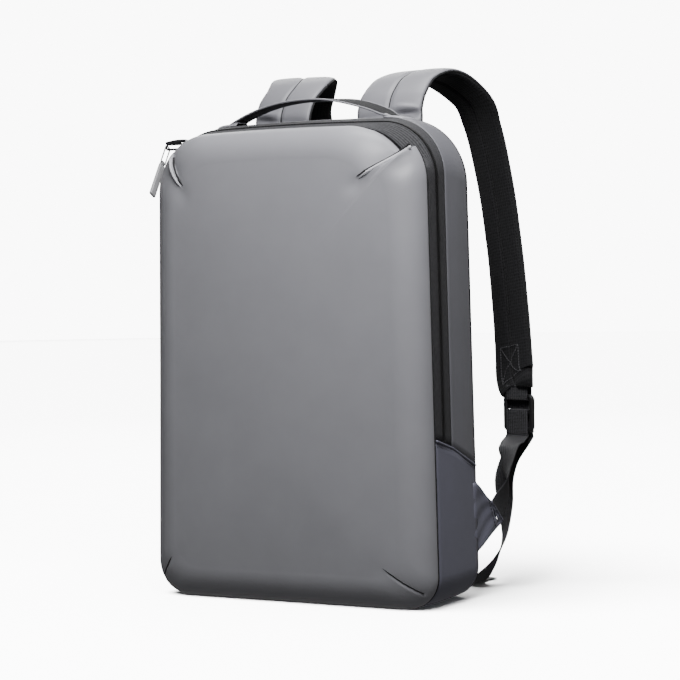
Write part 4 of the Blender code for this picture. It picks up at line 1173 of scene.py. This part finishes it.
def strapHalf(name, which, size, thick, sign, seam):
    # Each half is a crowned section on a flat middle plane: two soft lobes beside a sewn seam.
    centres, wide, face, half, run = strapFrames(which, size)
    a = np.linspace(-1, 1, 45)
    ripple = 1 + 0.035 * np.sin(run * 95)[:, None] * np.sin(a * 5.1)[None, :]
    height = thick * crownedHeight(a, seam, size)[None, :] * ripple
    points = (
        centres[:, None]
        + wide[:, None] * (a[None, :] * half[:, None])[..., None]
        + face[:, None] * (sign * (size["middleGap"] + height))[..., None]
    )
    if sign > 0:
        # a pulled fold across the cloth just above the root, deeper on the outer side
        outer = smoothStep(a * 2)
        reaches = (0.15 + 0.85 * outer, outer)
        fold = sum(
            share * np.exp(-(((run - place) / size["pullHalf"]) ** 2))[:, None] * reach[None, :]
            for (place, share), reach in zip(size["pulls"], reaches)
        )
        points -= face[:, None] * (size["pullDepth"] * fold * (1 - np.abs(a) ** 4)[None, :])[..., None]
    flat = centres[:, None] + wide[:, None] * (np.array([0.97, -0.97])[None, :] * half[:, None])[..., None]
    flat = flat + face[:, None] * sign * size["middleGap"]
    return laySurface(name, np.concatenate([points, flat], axis=1), wrapAcross=True, capped=True)


def makeStrap(which, word, size):
    name = "strap_cover_cloth_" + word
    cover = strapHalf(name, which, size, size["coverThick"], 1, size["coverSeam"])
    finishPiece(cover, strapCloth, replaced=["strap_cover_" + word])
    pad = strapHalf("strap_pad_mesh_" + word, which, size, size["padThick"], -1, size["padSeam"])
    finishPiece(pad, blackMesh, replaced=["strap_pad_" + word])
    centres, wide, face, half, run = strapFrames(which, size)
    for sign, label in ((-1, "inner"), (1, "outer")):
        path = centres + wide * (sign * (half - 0.0006))[:, None]
        edge = sweep("strap_binding_" + label + "_" + word, path, size["binding"])
        finishPiece(edge, blackTrimAndGrooveShade)
    # the middle seam: a dark line sunk in the groove, and a row of stitches on each side of it
    seamDepth = size["coverThick"] * (1 - size["coverSeam"])
    seam = sweep("strap_seam_" + word, centres + face * (seamDepth - 0.0001), 0.0008)
    finishPiece(seam, blackTrimAndGrooveShade)
    for sign, label in ((1, "a"), (-1, "b")):
        path = centres + wide * sign * size["stitchAside"] + face * (seamDepth + 0.0006)
        row = stitchRow("strap_stitches_" + word + "_" + label, path, face)
        finishPiece(row, greyThread)
    makeStitchedBox(which, word, size)


def makeStitchedBox(which, word, size):
    # a stitched box and cross on the lower end of the mesh side, laid on the pad's crown
    centres, wide, face, half, run = strapFrames(which, size)
    count = 16
    level = np.linspace(-1, 1, count)
    falling = np.linspace(size["boxHigh"], size["boxLow"], count)
    # u runs across from -1 to 1, v up from the lower end in metres
    lines = {
        "top": (level, np.full(count, size["boxHigh"])),
        "low": (level, np.full(count, size["boxLow"])),
        "left": (np.full(count, -1.0), falling),
        "right": (np.full(count, 1.0), falling),
        "falling": (level, falling),
        "rising": (-level, falling),
    }
    for label, (u, v) in lines.items():
        place = run[-1] - v
        out = pointsAt(place, run, -face)
        a = u * size["boxHalf"] / np.interp(place, run, half)
        lift = 0.0005 + size["padThick"] * crownedHeight(a, size["padSeam"], size)
        path = pointsAt(place, run, centres) + pointsAt(place, run, wide) * (u * size["boxHalf"])[:, None]
        path = path + out * lift[:, None]
        row = stitchRow("strap_box_" + label + "_" + word, path, out, 0.0026, 0.0021, 0.00045)
        # thread lighter than black: partly painted highlight on the raised stitches
        finishPiece(row, boxThreadPaintedHighlight)


for which, word in bothSides:
    makeStrap(which, word, strap)
print("shoulder straps are made")


# webbing, strap loop and buckle

webbing = {
    "width": 0.025,
    "thick": 0.0016,
    "hemGap": 0.0010,
    "hemLead": 0.0040,
    "slotOut": 0.03,  # past the slot's middle, as a share of the wing
    "slotInset": 0.0034,
    "slotWidth": 0.0110,
    "slotThick": 0.0010,
    "turnAngles": (25, 50, 90, 130, 155),  # degrees at which a turn round a bar has points
    # out and back as shares of the strap's, up as a share of the bag's height, yaw and dip in degrees
    "rising": (
        (1.071, 0.556, 0.2160, -78.0, -20.0),
        (1.058, 0.596, 0.2560, -52.0, -8.0),
        (1.036, 0.660, 0.2950, -32.0, 0.0),
        (1.014, 0.735, 0.3080, -20.0, 0.0),
    ),
    "tail": (
        (0.935, 0.845, 0.2700, -20.0, 0.0),
        (0.921, 0.790, 0.2250, -22.0, 0.0),
        (0.951, 0.750, 0.1700, -34.0, 0.0),
        (0.976, 0.690, 0.1080, -58.0, 0.0),
        (0.936, 0.640, 0.0600, -80.0, 0.0),
        (0.850, 0.630, 0.0260, -106.0, 0.0),
        (0.745, 0.675, 0.0065, -144.0, 0.0),
        (0.705, 0.770, 0.0032, -170.0, 0.0),
        (0.730, 0.880, 0.0032, -176.0, 0.0),
    ),
    "perRow": 8,
}
buckle = {
    "width": 0.034,
    "height": 0.036,
    "thick": 0.0046,
    "bar": 0.0042,
    "middleBar": 0.0034,
    "yaw": -12.0,
    "drop": 0.007,
    "squareness": 0.4,
    "gap": 0.0006,
    "corner": 0.0035,
    "edgeRound": 0.0013,
    "barRound": 0.0012,
    "barRibs": 0.0022,  # spacing of the ribs on the middle bar
    "lipThick": 0.0010,
    "lipRows": 10,
}


def buckleCentre():
    out, back, up = strap["sections"][-1][:3]
    lowest = up * strap["top"] - buckle["drop"] - buckle["height"] / 2
    return np.array([out * strap["out"], back * strap["reach"], lowest])


def turnPoints(across, up, degrees):
    # a squarish turn round a bar: cosine and sine raised to a small power
    angle = np.radians(degrees)
    share = np.sign(np.cos(angle)) * np.abs(np.cos(angle)) ** buckle["squareness"]
    return np.stack([across * share, up * np.sin(angle) ** buckle["squareness"]], axis=1)


def aroundBuckle(path, centre):
    # points (forward, up) in the buckle's own upright plane, as rows with the buckle's yaw
    turn = math.radians(buckle["yaw"])
    front = np.array([math.sin(turn), -math.cos(turn), 0.0])
    path = np.array(path)
    spots = centre + front * path[:, :1] + np.array([0.0, 0.0, 1.0]) * path[:, 1:]
    return np.concatenate([spots, np.full((len(path), 1), buckle["yaw"]), np.zeros((len(path), 1))], axis=1)


def layWebbing(name, rows, which, width, thick):
    rows = smoothRows(rows, webbing["perRow"])
    wide, face = ribbonFrames(rows[:, :3], rows[:, 3], rows[:, 4])
    flip = np.array([which, 1.0, 1.0])
    return ribbon(rows[:, :3] * flip, wide * flip, face * flip, width, thick, name, ribs=5)


def makeWebbing(which, word, size):
    _, hemHigh, hemLow, _ = wingCorners(1, side)
    along = unit(hemHigh - hemLow)
    yaw, dip = math.degrees(math.atan2(along[1], along[0])), math.degrees(math.asin(-along[2]))
    away = np.cross(along, np.array([1.0, 0.0, 0.0]))
    hem = (hemHigh + hemLow) / 2 + away * size["hemGap"] - np.array([side["wall"] / 2, 0, 0])
    start = [(*hem, yaw, dip), (*(hem + away * size["hemLead"]), yaw, dip)]
    scale = np.array([strap["out"], strap["reach"], bag["height"], 1, 1])
    around = buckle["thick"] / 2 + buckle["gap"] + size["thick"] / 2
    over = buckle["middleBar"] / 2 + buckle["gap"] + size["thick"] / 2
    low = -buckle["height"] / 2
    path = [(around * 1.3, low - buckle["bar"]), (around, low), (around, 0.0)]
    path += turnPoints(around, over, size["turnAngles"]).tolist()
    path += [(-around, 0.0), (-around, low), (-around * 1.3, low - buckle["bar"])]
    rows = np.concatenate([
        start,
        np.array(size["rising"]) * scale,
        aroundBuckle(path, buckleCentre()),
        np.array(size["tail"]) * scale,
    ])
    strip = layWebbing("webbing_strip_" + word, rows, which, size["width"] * 0.99, size["thick"] * 0.92)
    finishPiece(strip, blackWeb, replaced=["webbing_" + word])


def makeStrapLoop(which, word, size):
    centre = buckleCentre()
    barUp = buckle["height"] / 2 - buckle["bar"] / 2
    around = buckle["thick"] / 2 + buckle["gap"] + size["thick"] / 2
    under = buckle["bar"] / 2 + buckle["gap"] + size["thick"] / 2
    top = buckle["drop"] + buckle["bar"] / 2 + 0.0015
    turn = turnPoints(around, under, size["turnAngles"]) * np.array([1, -1])
    path = [(around, top), (around, 0.0)] + turn.tolist() + [(-around, 0.0), (-around, top)]
    rows = aroundBuckle(np.array(path) + np.array([0.0, barUp]), centre)
    width = buckle["width"] - 2 * buckle["bar"] - 0.0012
    strip = layWebbing("strap_loop_webbing_" + word, rows, which, width, size["thick"] * 0.92)
    finishPiece(strip, blackWeb, replaced=["strap_loop_" + word])


def makeLoopTail(which, word, size):
    # the loop's cut end hangs behind the buckle's upper window, between the loop's own turn and the webbing
    barUp = buckle["height"] / 2 - buckle["bar"]
    rear = -(buckle["thick"] / 2 + buckle["gap"] + size["thick"] * 0.5)
    path = [(rear, barUp), (rear, barUp * 0.75), (rear, barUp * 0.5), (rear, barUp * 0.25)]
    rows = aroundBuckle(path, buckleCentre())
    width = buckle["width"] - 0.0030
    strip = layWebbing("strap_loop_tail_" + word, rows, which, width, size["thick"] * 0.8)
    finishPiece(strip, blackWeb)


def makeSlotWebbing(which, word, size):
    # webbing that shows through the wing's slot
    centres = acrossWing(which, side["slotAt"] + size["slotOut"], 12)
    centres[:, 0] -= which * size["slotInset"]
    rootHigh, hemHigh = wingCorners(which, side)[:2]
    aside = np.zeros_like(centres) + unit(hemHigh - rootHigh)
    face = np.zeros_like(centres) + np.array([which, 0.0, 0.0])
    strip = ribbon(centres, aside, face, size["slotWidth"], size["slotThick"], "slot_webbing_" + word)
    finishPiece(strip, blackWeb)


def squircleRing(width, height, corner, count):
    # points of a rounded rectangle: quarter circles joined by straight sides
    quarter = np.linspace(0, math.pi / 2, count // 4)
    sides = [(1, 1), (-1, 1), (-1, -1), (1, -1)]
    parts = [
        np.stack([
            sx * (width / 2 - corner) + corner * np.cos(quarter + k * math.pi / 2),
            sz * (height / 2 - corner) + corner * np.sin(quarter + k * math.pi / 2),
        ], axis=1)
        for k, (sx, sz) in enumerate(sides)
    ]
    return np.concatenate(parts)


def makeBuckle(which, word, size):
    # A moulded frame: a rounded section carried round a rounded rectangle, a ribbed middle bar and a lip.
    section = squircleRing(size["bar"], size["thick"], size["edgeRound"], 20)
    outer = squircleRing(size["width"] - size["bar"], size["height"] - size["bar"], size["corner"], 40)
    ahead = unit(np.roll(outer, -1, axis=0) - np.roll(outer, 1, axis=0))
    out = np.stack([ahead[:, 1], -ahead[:, 0]], axis=1)
    flat = outer[:, None] + out[:, None] * section[None, :, :1]
    depth = np.broadcast_to(section[None, :, 1:], flat.shape[:2] + (1,))
    rim = np.concatenate([flat[..., :1], depth, flat[..., 1:]], axis=-1)
    frameRing = laySurface("buckle_frame", rim, True, True)
    barLine = squircleRing(size["middleBar"], size["thick"] * 0.86, size["barRound"], 20)
    barEnd = size["width"] / 2 - size["bar"] * 0.7
    xs = np.linspace(-barEnd, barEnd, 33)
    swell = 1 + 0.06 * np.cos(xs / size["barRibs"] * 2 * math.pi)
    bar = np.stack([
        np.broadcast_to(xs[:, None], (len(xs), len(barLine))),
        barLine[None, :, 1] * swell[:, None],
        barLine[None, :, 0] * swell[:, None],
    ], axis=-1)
    barPiece = laySurface("buckle_bar", bar, True, False, True)
    # the lip curls out to the rear under the lower bar, where fingers lift it
    t = np.linspace(0, 1, size["lipRows"])
    lipLine = np.stack([-(0.0012 + 0.0058 * t**1.6), -size["height"] / 2 + 0.0030 - 0.0030 * t], axis=1)
    lipWide = (size["width"] / 2 - 0.003) * (1 - 0.12 * t)
    u = squircleRing(2.0, 2 * size["lipThick"], 0.0008, 24)
    lip = np.stack([
        u[None, :, 0] * lipWide[:, None],
        -lipLine[:, :1] + np.zeros((size["lipRows"], len(u))),
        lipLine[:, 1:] + u[None, :, 1],
    ], axis=-1)
    lipPiece = laySurface("buckle_lip", lip, True, False, True)
    whole = joinPieces("buckle_frame_" + word, [frameRing, barPiece, lipPiece])
    points = np.zeros(len(whole.data.vertices) * 3)
    whole.data.vertices.foreach_get("co", points)
    points = points.reshape(-1, 3)
    turn = math.radians(size["yaw"])
    cos, sin = math.cos(turn), math.sin(turn)
    spin = np.array([[cos, sin, 0], [-sin, cos, 0], [0, 0, 1]])
    points = (points @ spin + buckleCentre()) * np.array([which, 1.0, 1.0])
    whole.data.vertices.foreach_set("co", points.reshape(-1))
    if which < 0:
        whole.data.flip_normals()
    whole.data.update()
    finishPiece(whole, blackPlastic, replaced=["buckle_" + word])


for which, word in bothSides:
    makeWebbing(which, word, webbing)
    makeStrapLoop(which, word, webbing)
    makeLoopTail(which, word, webbing)
    makeSlotWebbing(which, word, webbing)
    makeBuckle(which, word, buckle)
print("webbing and buckles are made")


# slider and pull: the solids keep their form and take their finish

for name, material in (("zip_slider", darkMetal), ("pull_link", linkMetal), ("pull_tab", pullRubber)):
    nodes[name].data.materials.clear()
    nodes[name].data.materials.append(material)
slider = {
    "outer": -0.1430,
    "inner": -0.1205,
    "low": 0.4202,
    "rise": 0.0016,
    "radius": 0.0018,
    "stations": 24,
}


def makeCrownBridge(size):
    # a bar over the crown that rises inwards by a quarter of a sine and is thicker in its middle
    t = np.linspace(0, 1, size["stations"])
    x = size["outer"] + (size["inner"] - size["outer"]) * t
    z = size["low"] + size["rise"] * np.sin(t * math.pi / 2)
    path = np.stack([x, np.full(len(t), bag["coilLine"]), z], axis=1)
    bridge = sweep("slider_crown_bridge", path, size["radius"] * (0.7 + 0.3 * np.sin(t * math.pi)), 10)
    finishPiece(bridge, darkMetal)


makeCrownBridge(slider)
print("pull has its finish")


# floor and light

studio = {
    "floorSize": 24.0,
    "floorColour": (0.90, 0.90, 0.90),
    "backdropAt": 9.0,
    "backdropSides": 96,
    "backdropHeight": 2.4,
    "backdropLight": 9.5,
    "worldStrength": 0.16,
    "floorSun": {"strength": 36.0, "from": (-0.22, -0.36, 1.0), "softness": 36.0},
    # each lamp's place, aim, size and power in watts
    "lamps": {
        "near": ((0.32, -0.46, 0.84), (0.07, 0.0, 0.34), (0.34, 0.34), 9.4),
        "top": ((0.10, 0.12, 1.35), (0.08, 0.02, 0.40), (0.5, 0.5), 12.0),
        "key": ((0.55, -2.0, 2.2), (0.05, 0.0, 0.36), (1.2, 1.2), 11.0),
        "rear": ((-0.9, 1.7, 1.2), (0.0, 0.06, 0.25), (1.2, 1.2), 26.0),
        "fill": ((-1.4, -1.8, 0.7), (0.0, 0.0, 0.2), (1.4, 1.4), 0.8),
    },
}


def addFloorSun(size, floor):
    # a soft sun that lights the floor only, so that it reads white while the bag keeps its own shading
    data = bpy.data.lights.new("floor_sun", "SUN")
    data.energy = size["strength"]
    data.angle = math.radians(size["softness"])
    sun = addObject("floor_sun", data)
    sun.rotation_euler = (-Vector(size["from"])).to_track_quat("-Z", "Y").to_euler()
    receivers = bpy.data.collections.new("floor_only")
    receivers.objects.link(floor)
    sun.light_linking.receiver_collection = receivers


def addBackdrop(size):
    # a low bright wall all round, far off, seen by the camera only
    angle = np.linspace(0, 2 * math.pi, size["backdropSides"], endpoint=False)
    ring = np.stack([np.cos(angle), np.sin(angle), np.zeros(len(angle))], axis=1) * size["backdropAt"]
    high = np.array([0.0, 0.0, size["backdropHeight"]])
    backdrop = laySurface("backdrop", np.array([ring, ring + high]), wrapAcross=True)
    faceOutwards(backdrop, lambda middle: middle * np.array([-1.0, -1.0, 0.0]))
    material, tree, shader = startMaterial("bright_backdrop", (0.9, 0.9, 0.9), 0.9)
    shader.inputs["Emission Color"].default_value = (1.0, 1.0, 1.0, 1.0)
    shader.inputs["Emission Strength"].default_value = size["backdropLight"]
    backdrop.data.materials.append(material)
    backdrop.visible_diffuse = backdrop.visible_glossy = False


def addStudio(size):
    half = size["floorSize"] / 2
    corners = np.array([[[-half, -half, 0], [half, -half, 0]], [[-half, half, 0], [half, half, 0]]], float)
    floor = laySurface("floor", corners)
    faceOutwards(floor, sameWay((0.0, 0.0, 1.0)))
    material, tree, shader = startMaterial("pale_floor", size["floorColour"], 0.9)
    patchyColour(tree, shader, size["floorColour"], 0.004, 3.0)
    floor.data.materials.append(material)
    floor.visible_diffuse = floor.visible_glossy = False
    addFloorSun(size["floorSun"], floor)
    addBackdrop(size)
    world = bpy.data.worlds.new("studio")
    world.use_nodes = True
    background = world.node_tree.nodes["Background"]
    background.inputs["Color"].default_value = (1.0, 1.0, 1.0, 1.0)
    background.inputs["Strength"].default_value = size["worldStrength"]
    bpy.context.scene.world = world
    for name, (place, aim, spread, power) in size["lamps"].items():
        data = bpy.data.lights.new(name, "AREA")
        data.shape = "RECTANGLE"
        data.size, data.size_y = spread
        data.energy = power
        light = addObject(name, data)
        light.location = place
        light.rotation_euler = (Vector(aim) - Vector(place)).to_track_quat("-Z", "Y").to_euler()


addStudio(studio)
print("studio is set")
